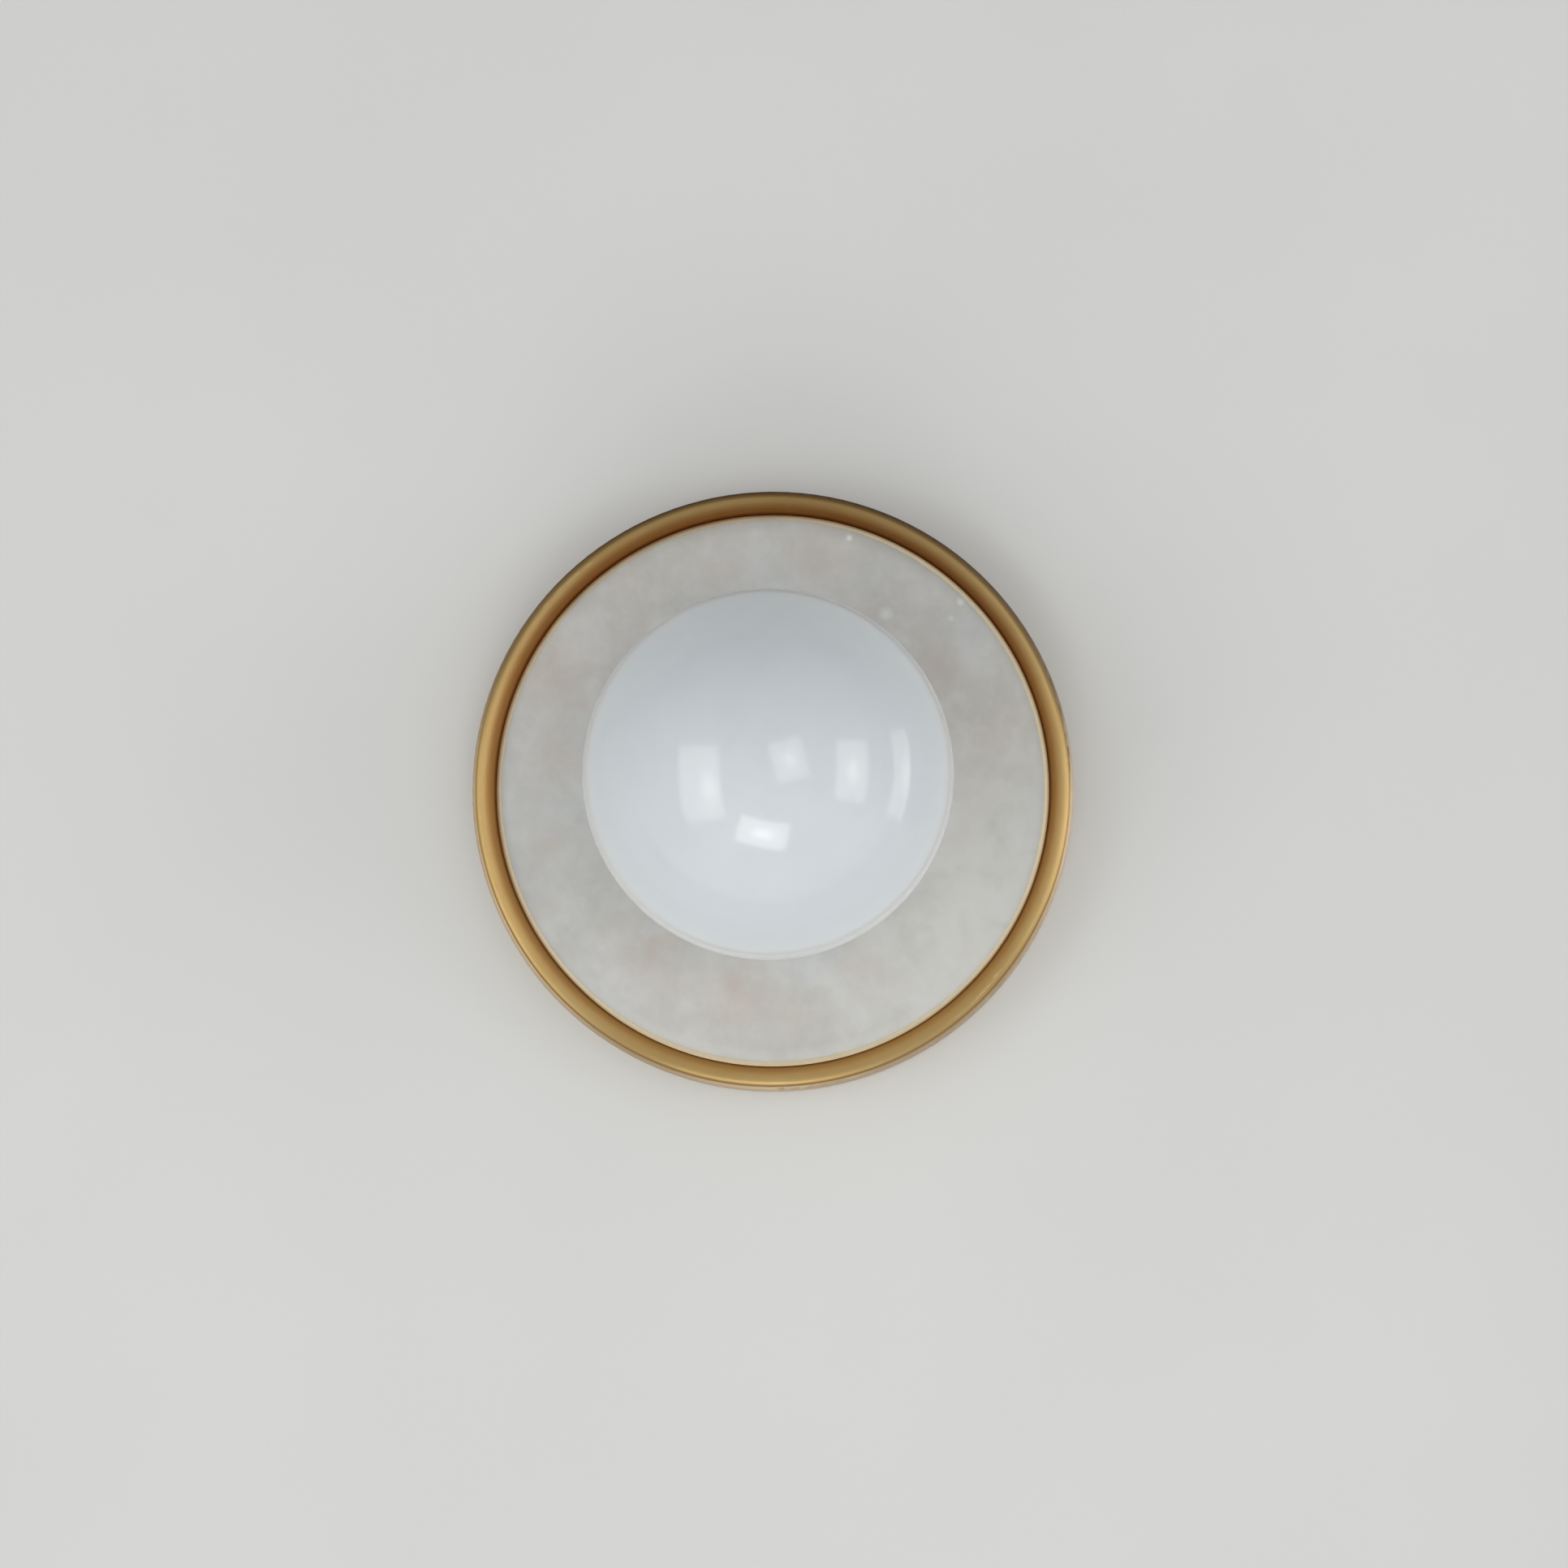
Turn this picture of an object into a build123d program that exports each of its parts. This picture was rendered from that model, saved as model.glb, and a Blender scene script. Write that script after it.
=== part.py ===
from build123d import *
import math
import os

# Wall sconce: an opal glass globe in front of an alabaster disc, framed by a brass ring on a brass pan.
# All sizes are in millimetres. Pieces are drawn with +Z pointing out of the wall and +Y up, and are
# turned on export so that the front faces -Y, +Z is up and the wall is the plane y = 0.

# Pan, stone and ring
PAN_RADIUS = 127.0
PAN_SHEET = 1.2
PAN_CORNER = 1.8
STONE_THICKNESS = 8.0
STONE_RIM_GAP = 0.6
CUSHION_THICKNESS = 1.0
CUSHION_WIDTH = 15.0
CUSHION_INSET = 3.0
RING_WIDTH = 8.6
RING_OUTER_ROUND = 2.1
LIP_WIDTH = 2.0
LIP_THICKNESS = 1.0
LIP_OVERLAP = 1.8
RING_SCREW_DIAMETER = 2.5
RING_SCREW_HEAD = 4.2
RING_SCREW_HEAD_HEIGHT = 1.8
RING_SCREW_REACH = 4.0
RING_SCREW_COUNT = 4
RING_SCREW_ANGLE = 45.0
TAP_RUNOUT = 1.0

# Globe, its round thread and the gallery that carries it
GLOBE_RADIUS = 75.0
GLASS_WALL = 3.0
NECK_FILLET = 4.0
NECK_CLEARANCE = 4.0
NECK_ENGAGEMENT = 9.0
NECK_BORE_GAP = 0.35
THREAD_PITCH = 5.0
THREAD_RADIUS = 1.5
THREAD_SINK = 0.2
THREAD_GAP = 0.3
THREAD_END_GAP = 0.7
GALLERY_WALL = 2.4
GALLERY_FLOOR = 2.0
GALLERY_RISE = 6.0
BRIM_WIDTH = 5.0
BRIM_THICKNESS = 1.5
BRIM_GAP = 0.3
STONE_HOLE_GAP = 1.0
SEAL_HEIGHT = 2.2
SEAL_INSET = 0.5
SEAL_GAP = 0.3

# Hollow nipple that clamps the bracket, the gallery and the pan
NIPPLE_DIAMETER = 10.0
NIPPLE_BORE = 7.5
NIPPLE_PROUD = 1.0
LOCKNUT_FLATS = 14.0
LOCKNUT_HEIGHT = 3.0
LOCK_WASHER_THICKNESS = 0.8
LOCK_WASHER_DIAMETER = 16.0
LOCK_WASHER_TEETH = 12
LOCK_WASHER_NOTCH = 1.6
BUSHING_WALL = 0.7
BUSHING_LENGTH = 5.0
BUSHING_LIP = 1.0
SCREW_FIT = 0.05
HOLE_FIT = 0.25

# Lampholder for a two-pin lamp, and its bracket
PIN_SPACING = 9.0
PIN_WIRE = 0.9
PIN_LOOP = 2.0
PIN_LENGTH = 9.0
PIN_ROOM = 4.0
CONTACT_LEAF = 0.3
CONTACT_CLEARANCE = 0.35
CONTACT_WIDTH = 3.2
SLOT_CLEARANCE = 0.1
SLOT_END_ROOM = 1.1
HOLDER_LENGTH = 20.0
HOLDER_WIDTH = 15.0
HOLDER_FLOOR = 5.0
HOLDER_EDGE = 1.0
EAR_LENGTH = 7.0
EAR_WIDTH = 12.0
EAR_THICKNESS = 4.0
HOLDER_SCREW_DIAMETER = 3.0
HOLDER_SCREW_HEAD = 5.0
HOLDER_SCREW_HEAD_HEIGHT = 2.0
HOLDER_SCREW_REACH = 4.5
BRACKET_SHEET = 1.2
BRACKET_HEIGHT = 12.0
NUT_ROOM = 1.4

# Lamp: ceramic base, frosted capsule and an inner board of light-emitting chips
LAMP_SEAT_GAP = 0.3
LAMP_RADIUS = 8.3
LAMP_BASE_HEIGHT = 14.0
LAMP_BASE_FOOT = 6.6
LAMP_FOOT_HEIGHT = 3.0
LAMP_SPIGOT = 2.0
LAMP_SPIGOT_GAP = 0.1
CAPSULE_LENGTH = 40.0
CAPSULE_WALL = 1.0
BOARD_WIDTH = 9.0
BOARD_LENGTH = 30.0
BOARD_THICKNESS = 1.0
CHIP_SIZE = 2.8
CHIP_HEIGHT = 0.8
CHIP_ROWS = 5

# Leads and terminal block
LEAD_DIAMETER = 1.8
LEAD_SPACING = 2.6
LEAD_HOLE_GAP = 0.2
LEAD_BAR_GAP = 1.1
LEAD_TIP_GAP = 0.3
TERMINAL_HEIGHT = 10.8
TERMINAL_WALL_GAP = 3.0
TERMINAL_WIDTH = 18.0
TERMINAL_PITCH = 11.0
TERMINAL_END = 5.0
TERMINAL_CENTRE = 40.0
CLAMP_SIZE = 5.0
CLAMP_LENGTH = 15.0
CLAMP_BORE = 2.8
CLAMP_GAP = 0.15
CLAMP_SCREW_DIAMETER = 2.5
CLAMP_SCREW_HEAD = 3.6
CLAMP_SCREW_OFFSET = 4.0
CLAMP_SCREW_SINK = 0.3
CLAMP_TIP_GAP = 0.1
BLOCK_SCREW_DIAMETER = 3.0
BLOCK_SCREW_HEAD = 5.2
BLOCK_SCREW_HEAD_HEIGHT = 1.8
BLOCK_SCREW_PROUD = 0.3

# Mounting bar, its earth screw and the side screws
BAR_THICKNESS = 2.0
BAR_WIDTH = 25.0
BAR_BEND = 1.0
BAR_PAN_GAP = 1.0
BAR_NUT_GAP = 0.5
BAR_PAD_DIAMETER = 44.0
CABLE_HOLE_DIAMETER = 22.0
BOX_SCREW_SPACING = 79.375
BOX_SLOT_LENGTH = 14.0
BOX_SLOT_WIDTH = 4.5
GROUND_PLACE = 70.0
GROUND_BOSS_HEIGHT = 3.0
GROUND_BOSS_DIAMETER = 7.5
GROUND_SCREW_DIAMETER = 4.0
GROUND_HEAD_FLATS = 7.0
GROUND_HEAD_HEIGHT = 3.0
GROUND_TIP_GAP = 0.3
LUG_SHEET = 0.8
LUG_RADIUS = 4.0
LUG_BARREL_LENGTH = 6.0
LUG_BARREL_WALL = 0.6
LUG_ANGLE = 150.0
SET_SCREW_DIAMETER = 4.0
SET_SCREW_DOG = 2.5
SET_SCREW_DOG_LENGTH = 2.0
SET_SCREW_KEY = 2.0
SET_SCREW_KEY_DEPTH = 2.0
SET_SCREW_SINK = 0.3
SET_SCREW_BITE = 1.5
WELD_NUT_FLATS = 7.0
WELD_NUT_HEIGHT = 3.2
WELD_GAP = 0.1
CROSS_RECESS = 0.6
CROSS_DEPTH = 0.9

# Distances from the wall, from the back of the pan to the front of the ring
floor_back = TERMINAL_HEIGHT + TERMINAL_WALL_GAP
floor_front = floor_back + PAN_SHEET
stone_back = floor_front + CUSHION_THICKNESS
stone_front = stone_back + STONE_THICKNESS
ledge_back = stone_front - PAN_SHEET
lip_front = stone_front + LIP_THICKNESS
ring_inner_round = RING_WIDTH - RING_OUTER_ROUND
ring_crest = lip_front + ring_inner_round

# Radii of the pan, ring and stone
ring_outer = PAN_RADIUS - PAN_CORNER
ring_inner = ring_outer - RING_WIDTH
lip_inner = ring_inner - LIP_WIDTH
stone_radius = lip_inner + LIP_OVERLAP
recess_radius = stone_radius + STONE_RIM_GAP
recess_outer = recess_radius + PAN_SHEET
pan_inner = PAN_RADIUS - PAN_SHEET
ring_screw_circle = (recess_outer + ring_outer) / 2

# Lampholder, from its bracket to the lamp's seat
gallery_floor_front = floor_front + GALLERY_FLOOR
bracket_base_front = gallery_floor_front + BRACKET_SHEET
holder_back = gallery_floor_front + BRACKET_HEIGHT
slot_depth = PIN_LENGTH + PIN_ROOM
holder_front = holder_back + HOLDER_FLOOR + slot_depth
ear_span = HOLDER_LENGTH / 2 + EAR_LENGTH
ear_screw_place = HOLDER_LENGTH / 2 + EAR_LENGTH / 2
holder_swing = math.hypot(ear_span, EAR_WIDTH / 2)
contact_gap = PIN_WIRE + 2 * CONTACT_CLEARANCE
slot_width = contact_gap + 2 * CONTACT_LEAF + 2 * SLOT_CLEARANCE
slot_length = max(PIN_LOOP + PIN_WIRE, CONTACT_WIDTH) + SLOT_END_ROOM
slot_floor = holder_front - slot_depth
lamp_seat = holder_front + LAMP_SEAT_GAP
locknut_corner = LOCKNUT_FLATS / math.sqrt(3)
bracket_leg = locknut_corner + NUT_ROOM

# Globe neck, thread and gallery
neck_inner = holder_swing + NECK_CLEARANCE
neck_radius = neck_inner + GLASS_WALL
thread_radius = neck_radius - THREAD_SINK
gallery_bore = neck_radius + NECK_BORE_GAP
groove_half = THREAD_RADIUS + THREAD_GAP
gallery_radius = thread_radius + groove_half + GALLERY_WALL
gallery_rim = stone_front + GALLERY_RISE
neck_end = gallery_rim - NECK_ENGAGEMENT
thread_start = neck_end + THREAD_END_GAP + THREAD_RADIUS
thread_height = gallery_rim - THREAD_GAP - THREAD_RADIUS - thread_start
stone_hole = gallery_radius + STONE_HOLE_GAP
seal_front = gallery_rim + SEAL_HEIGHT
seal_bore = neck_radius + SEAL_GAP
shoulder = seal_front + SEAL_GAP - math.sqrt(NECK_FILLET**2 - (NECK_FILLET - SEAL_GAP) ** 2)
fillet_centre = neck_radius + NECK_FILLET
globe_centre = shoulder + math.sqrt((GLOBE_RADIUS + NECK_FILLET) ** 2 - fillet_centre**2)

# Nipple and the nuts on it
nipple_radius = NIPPLE_DIAMETER / 2
nipple_bore = NIPPLE_BORE / 2
washer_back = floor_back - LOCK_WASHER_THICKNESS
rear_nut_back = washer_back - LOCKNUT_HEIGHT
nipple_back = rear_nut_back - NIPPLE_PROUD
nipple_front = bracket_base_front + LOCKNUT_HEIGHT + NIPPLE_PROUD
bushing_back = nipple_back - BUSHING_LIP
bushing_radius = nipple_bore - SCREW_FIT

# Terminal block and leads
block_back = floor_back - TERMINAL_HEIGHT
clamp_axis = block_back + TERMINAL_HEIGHT / 2
block_edge = TERMINAL_CENTRE - TERMINAL_WIDTH / 2
block_half = TERMINAL_PITCH + TERMINAL_END
lead_radius = LEAD_DIAMETER / 2
lead_level = BAR_THICKNESS + LEAD_BAR_GAP + lead_radius
holder_lead = PIN_SPACING / 2 - lead_radius
lead_tip = slot_floor - LEAD_TIP_GAP

# Mounting bar and side screws
nut_outer = pan_inner - WELD_GAP
nut_inner = nut_outer - WELD_NUT_HEIGHT
bar_end = nut_inner - BAR_NUT_GAP
bar_tab_top = floor_back - BAR_PAN_GAP
side_screw_level = floor_back / 2
set_screw_radius = SET_SCREW_DIAMETER / 2
set_screw_outer = PAN_RADIUS - SET_SCREW_SINK
set_screw_tip = bar_end - SET_SCREW_BITE
boss_top = BAR_THICKNESS + GROUND_BOSS_HEIGHT
lug_front = boss_top + LUG_SHEET
lug_bore = lead_radius + LEAD_HOLE_GAP
lug_barrel = lug_bore + LUG_BARREL_WALL

ON_BASE = (Align.CENTER, Align.CENTER, Align.MIN)


def disc(radius, back, front):
    """A round block on the axis between two distances from the wall."""
    return Pos(0, 0, back) * Cylinder(radius, front - back, align=ON_BASE)


def tube(outer, inner, back, front):
    """A round sleeve on the axis between two distances from the wall."""
    return disc(outer, back, front) - disc(inner, back, front)


def block(length, width, back, front):
    """A rectangular block on the axis between two distances from the wall."""
    return Pos(0, 0, back) * Box(length, width, front - back, align=ON_BASE)


def hexagon(flats, back, front):
    """A hexagonal block on the axis, by its distance across flats."""
    return Pos(0, 0, back) * extrude(RegularPolygon(flats / 2, 6, major_radius=False), front - back)


def turned(outline):
    """A full turn about the axis of an outline given as lines in (radius, distance from wall)."""
    return revolve(Plane.XZ * make_face(outline), Axis.Z)


def cross_screw(radius, head_radius, head_height, reach):
    """A screw along +Z, with its cross-slotted head below z = 0 and its shank above."""
    head = fillet(disc(head_radius, -head_height, 0).edges().group_by(Axis.Z)[0], head_height / 3)
    for turn in (0, 90):
        arm = Box(CROSS_RECESS, 1.2 * head_radius, CROSS_DEPTH, align=ON_BASE)
        head -= Pos(0, 0, -head_height) * Rot(0, 0, turn) * arm
    shank = disc(radius, 0, reach)
    return head + chamfer(shank.edges().group_by(Axis.Z)[-1], radius / 4)


def lead(points, bends):
    """A round insulated wire along straight runs joined by tangent arcs."""
    path = FilletPolyline(*points, radius=bends)
    wire = sweep((path ^ 0) * Circle(lead_radius), path=path)
    drift = wire.volume / (math.pi * lead_radius**2 * path.length) - 1
    print("lead length", round(path.length, 1), "bends", [round(bend, 2) for bend in bends],
          "volume over section times length, less one", round(drift, 6))
    return wire


def make_back_pan():
    """Pressed brass pan: outer wall, ledge for the ring, and a recessed floor for the stone."""
    hole = nipple_radius + HOLE_FIT
    inner_corner = PAN_CORNER - PAN_SHEET
    corner = (ring_outer, stone_front - PAN_CORNER)
    outline = Polyline((ring_outer, stone_front), (recess_radius, stone_front), (recess_radius, floor_front),
                       (hole, floor_front), (hole, floor_back), (recess_outer, floor_back),
                       (recess_outer, ledge_back), (ring_outer, ledge_back))
    outline += CenterArc(corner, inner_corner, 0, 90)
    outline += Polyline((pan_inner, corner[1]), (pan_inner, 0), (PAN_RADIUS, 0), (PAN_RADIUS, corner[1]))
    outline += CenterArc(corner, PAN_CORNER, 0, 90)
    pan = turned(outline)
    screw_hole = disc(RING_SCREW_DIAMETER / 2 + HOLE_FIT, ledge_back, stone_front)
    for spot in PolarLocations(ring_screw_circle, RING_SCREW_COUNT, start_angle=RING_SCREW_ANGLE):
        pan -= spot * screw_hole
    for side in (-1, 1):
        side_hole = Rot(0, side * 90, 0) * disc(set_screw_radius + HOLE_FIT, bar_end, PAN_RADIUS + PAN_SHEET)
        pan -= Pos(0, 0, side_screw_level) * side_hole
    block_hole = disc(BLOCK_SCREW_DIAMETER / 2 + SCREW_FIT, floor_back, floor_front)
    return pan - Pos(TERMINAL_PITCH / 2, TERMINAL_CENTRE) * block_hole


def make_brass_ring():
    """Turned brass ring: a broad round inside, a small round outside and a thin lip over the stone."""
    crest_radius = ring_inner + ring_inner_round
    shoulder = ring_crest - RING_OUTER_ROUND
    lip_round = LIP_THICKNESS / 2
    outline = Polyline((ring_outer, shoulder), (ring_outer, stone_front), (lip_inner, stone_front),
                       (lip_inner, lip_front - lip_round))
    outline += CenterArc((lip_inner + lip_round, lip_front - lip_round), lip_round, 90, 90)
    outline += Line((lip_inner + lip_round, lip_front), (ring_inner, lip_front))
    outline += CenterArc((crest_radius, lip_front), ring_inner_round, 90, 90)
    outline += CenterArc((crest_radius, shoulder), RING_OUTER_ROUND, 0, 90)
    ring = turned(outline)
    hole_end = stone_front + RING_SCREW_REACH + TAP_RUNOUT
    tapped_hole = disc(RING_SCREW_DIAMETER / 2 + SCREW_FIT, stone_front, hole_end)
    for spot in PolarLocations(ring_screw_circle, RING_SCREW_COUNT, start_angle=RING_SCREW_ANGLE):
        ring -= spot * tapped_hole
    return ring


def make_ring_screws():
    """Four cross-head screws from behind the pan's ledge into the ring."""
    screw = cross_screw(RING_SCREW_DIAMETER / 2, RING_SCREW_HEAD / 2, RING_SCREW_HEAD_HEIGHT,
                        PAN_SHEET + RING_SCREW_REACH)
    spots = PolarLocations(ring_screw_circle, RING_SCREW_COUNT, start_angle=RING_SCREW_ANGLE)
    return Compound([spot * Pos(0, 0, ledge_back) * screw for spot in spots])


def make_stone_disc():
    """Flat alabaster disc with a hole for the gallery and slightly eased edges."""
    stone = tube(stone_radius, stone_hole, stone_back, stone_front)
    return chamfer(stone.edges().filter_by(GeomType.CIRCLE), LIP_OVERLAP / 6)


def make_stone_cushion():
    """Thin foam ring that the stone is bedded on."""
    outer = stone_radius - CUSHION_INSET
    return tube(outer, outer - CUSHION_WIDTH, floor_front, stone_back)


def thread_path(first, height):
    """Right-hand helix of the globe's thread, from a distance from the wall and over a height."""
    turn = 360 * (first - thread_start) / THREAD_PITCH
    return Pos(0, 0, first) * Rot(0, 0, 90 + turn) * Helix(THREAD_PITCH, height, thread_radius)


def make_globe_gallery():
    """Turned brass cup with a square inside thread, open at its rim, and a brim over the stone's hole."""
    brim_back = stone_front + BRIM_GAP
    cup = disc(gallery_radius, floor_front, gallery_rim)
    brim = disc(gallery_radius + BRIM_WIDTH, brim_back, brim_back + BRIM_THICKNESS)
    cup += fillet(brim.edges().group_by(Axis.Z)[-1], BRIM_THICKNESS / 2)
    cup -= disc(gallery_bore, gallery_floor_front, gallery_rim)
    cup -= disc(nipple_radius + HOLE_FIT, floor_front, gallery_floor_front)
    groove_start = thread_start - THREAD_GAP / 2
    path = thread_path(groove_start, gallery_rim + THREAD_PITCH / 2 - groove_start)
    return cup - sweep((path ^ 0) * Rectangle(2 * groove_half, 2 * groove_half), path=path, is_frenet=True)


def make_globe_seal():
    """Flat silicone washer between the gallery's rim and the globe's shoulder."""
    seal = tube(gallery_radius - SEAL_INSET, seal_bore, gallery_rim, seal_front)
    return fillet(seal.edges().group_by(Axis.Z)[-1].sort_by(SortBy.RADIUS)[-1], SEAL_HEIGHT / 2)


def make_opal_globe():
    """Blown opal glass shell of even wall, with a filleted shoulder and a neck with a round thread."""
    swing = math.degrees(math.atan2(shoulder - globe_centre, fillet_centre))
    inner_globe = GLOBE_RADIUS - GLASS_WALL
    inner_fillet = NECK_FILLET + GLASS_WALL
    lip = GLASS_WALL / 2
    outline = Line((neck_radius, neck_end + lip), (neck_radius, shoulder))
    outline += CenterArc((fillet_centre, shoulder), NECK_FILLET, 180, swing)
    outline += CenterArc((0, globe_centre), GLOBE_RADIUS, swing, 90 - swing)
    outline += Line((0, globe_centre + GLOBE_RADIUS), (0, globe_centre + inner_globe))
    outline += CenterArc((0, globe_centre), inner_globe, swing, 90 - swing)
    outline += CenterArc((fillet_centre, shoulder), inner_fillet, 180, swing)
    outline += Line((neck_inner, shoulder), (neck_inner, neck_end + lip))
    outline += CenterArc((neck_inner + lip, neck_end + lip), lip, 180, 180)
    path = thread_path(thread_start, thread_height)
    ridge = sweep((path ^ 0) * Circle(THREAD_RADIUS), path=path, is_frenet=True)
    return turned(outline) + ridge


def make_hollow_nipple():
    """Threaded steel tube that clamps the bracket, the gallery and the pan, and carries the leads."""
    rod = disc(nipple_radius, nipple_back, nipple_front)
    rod = chamfer(rod.edges().filter_by(GeomType.CIRCLE), (nipple_radius - nipple_bore) / 3)
    return rod - disc(nipple_bore, nipple_back, nipple_front)


def make_locknut(back):
    """Thin hexagon nut on the nipple."""
    nut = hexagon(LOCKNUT_FLATS, back, back + LOCKNUT_HEIGHT)
    return nut - disc(nipple_radius + SCREW_FIT, back, back + LOCKNUT_HEIGHT)


def make_rear_lock_washer():
    """Toothed steel washer between the rear nut and the pan."""
    washer = tube(LOCK_WASHER_DIAMETER / 2, nipple_radius + HOLE_FIT, washer_back, floor_back)
    notch = block(LOCK_WASHER_NOTCH, LOCK_WASHER_NOTCH, washer_back, floor_back)
    for spot in PolarLocations(LOCK_WASHER_DIAMETER / 2, LOCK_WASHER_TEETH):
        washer -= spot * notch
    return washer


def make_nipple_bushing():
    """Plastic bushing pushed into the nipple's rear end to guard the leads."""
    sleeve = disc(bushing_radius, nipple_back, nipple_back + BUSHING_LENGTH)
    lip = disc(nipple_radius, bushing_back, nipple_back)
    lip = fillet(lip.edges().group_by(Axis.Z)[0], BUSHING_LIP / 2)
    return sleeve + lip - disc(bushing_radius - BUSHING_WALL, bushing_back, nipple_back + BUSHING_LENGTH)


def make_lampholder_bracket():
    """Hat-shaped steel strip: base under the front nut, two legs and two tapped tabs."""
    tab_back = holder_back - BRACKET_SHEET
    leg_outer = bracket_leg + BRACKET_SHEET
    outline = Polyline((0, gallery_floor_front), (leg_outer, gallery_floor_front), (leg_outer, tab_back),
                       (ear_span, tab_back), (ear_span, holder_back), (bracket_leg, holder_back),
                       (bracket_leg, bracket_base_front), (0, bracket_base_front), close=True)
    half = extrude(Plane.XZ * make_face(outline), EAR_WIDTH / 2, both=True)
    strip = half + mirror(half, Plane.YZ)
    strip -= disc(nipple_radius + HOLE_FIT, gallery_floor_front, bracket_base_front)
    tapped_hole = disc(HOLDER_SCREW_DIAMETER / 2 + SCREW_FIT, tab_back, holder_back)
    for side in (-1, 1):
        strip -= Pos(side * ear_screw_place) * tapped_hole
    return strip


def make_lampholder():
    """Glazed ceramic lampholder: body with two pin slots, two fixing ears and two lead holes."""
    body = block(HOLDER_LENGTH, HOLDER_WIDTH, holder_back, holder_front)
    body = fillet(body.edges().filter_by(Axis.Z), 3 * HOLDER_EDGE)
    body = fillet(body.edges().group_by(Axis.Z)[-1], HOLDER_EDGE)
    ears = block(2 * ear_span, EAR_WIDTH, holder_back, holder_back + EAR_THICKNESS)
    body += fillet(ears.edges().filter_by(Axis.Z), 2 * HOLDER_EDGE)
    for side in (-1, 1):
        body -= Pos(side * PIN_SPACING / 2) * block(slot_width, slot_length, slot_floor, holder_front)
        body -= Pos(side * holder_lead) * disc(lead_radius + LEAD_HOLE_GAP, holder_back, slot_floor)
        hole = disc(HOLDER_SCREW_DIAMETER / 2 + HOLE_FIT, holder_back, holder_back + EAR_THICKNESS)
        body -= Pos(side * ear_screw_place) * hole
    return body


def make_lampholder_contacts():
    """Two spring clips of thin brass, folded to a U, one in each pin slot."""
    back = slot_floor + SLOT_CLEARANCE
    front = holder_front - HOLDER_EDGE
    outer = contact_gap + 2 * CONTACT_LEAF
    clip = block(outer, CONTACT_WIDTH, back, front)
    clip -= block(contact_gap, CONTACT_WIDTH, back + CONTACT_LEAF, front)
    return Compound([Pos(side * PIN_SPACING / 2) * clip for side in (-1, 1)])


def make_lampholder_screws():
    """Two cross-head screws through the ears into the bracket's tabs."""
    screw = cross_screw(HOLDER_SCREW_DIAMETER / 2, HOLDER_SCREW_HEAD / 2, HOLDER_SCREW_HEAD_HEIGHT,
                        EAR_THICKNESS + HOLDER_SCREW_REACH)
    front = holder_back + EAR_THICKNESS
    return Compound([Pos(side * ear_screw_place, 0, front) * Rot(180, 0, 0) * screw for side in (-1, 1)])


def make_lamp_base():
    """Ceramic lamp base with a narrower foot and a spigot that centres the capsule."""
    top = lamp_seat + LAMP_BASE_HEIGHT
    base = disc(LAMP_BASE_FOOT, lamp_seat, lamp_seat + LAMP_FOOT_HEIGHT)
    base += disc(LAMP_RADIUS, lamp_seat + LAMP_FOOT_HEIGHT, top)
    return base + disc(LAMP_RADIUS - CAPSULE_WALL - LAMP_SPIGOT_GAP, top, top + LAMP_SPIGOT)


def make_lamp_capsule():
    """Frosted capsule with a domed end, closed over the board and resting on the lamp base."""
    back = lamp_seat + LAMP_BASE_HEIGHT
    dome = back + CAPSULE_LENGTH - LAMP_RADIUS
    inner = LAMP_RADIUS - CAPSULE_WALL
    outline = Polyline((inner, dome), (inner, back), (LAMP_RADIUS, back), (LAMP_RADIUS, dome))
    outline += CenterArc((0, dome), LAMP_RADIUS, 0, 90)
    outline += Line((0, dome + LAMP_RADIUS), (0, dome + inner))
    outline += CenterArc((0, dome), inner, 0, 90)
    return turned(outline)


def make_lamp_pins():
    """Two stiff wire loops under the lamp base."""
    reach = PIN_LOOP / 2
    bend = lamp_seat - PIN_LENGTH + reach + PIN_WIRE / 2
    path = Line((reach, lamp_seat), (reach, bend)) + CenterArc((0, bend), reach, 0, -180)
    path += Line((-reach, bend), (-reach, lamp_seat))
    loop = Plane.YZ * Wire(path.edges())
    pin = sweep((loop ^ 0) * Circle(PIN_WIRE / 2), path=loop)
    return Compound([Pos(side * PIN_SPACING / 2) * pin for side in (-1, 1)])


def make_lamp_led_board():
    """Narrow circuit board that stands on the lamp base's spigot."""
    foot = lamp_seat + LAMP_BASE_HEIGHT + LAMP_SPIGOT
    return block(BOARD_WIDTH, BOARD_THICKNESS, foot, foot + BOARD_LENGTH)


def make_lamp_led_chips():
    """Rows of square light-emitting chips on both faces of the board."""
    foot = lamp_seat + LAMP_BASE_HEIGHT + LAMP_SPIGOT
    step = BOARD_LENGTH / CHIP_ROWS
    offset = (BOARD_THICKNESS + CHIP_HEIGHT) / 2
    chip = Box(CHIP_SIZE, CHIP_HEIGHT, CHIP_SIZE)
    levels = [foot + step * (row + 0.5) for row in range(CHIP_ROWS)]
    columns = (-BOARD_WIDTH / 4, BOARD_WIDTH / 4)
    return Compound([Pos(column, face * offset, level) * chip
                     for face in (-1, 1) for level in levels for column in columns])


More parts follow.
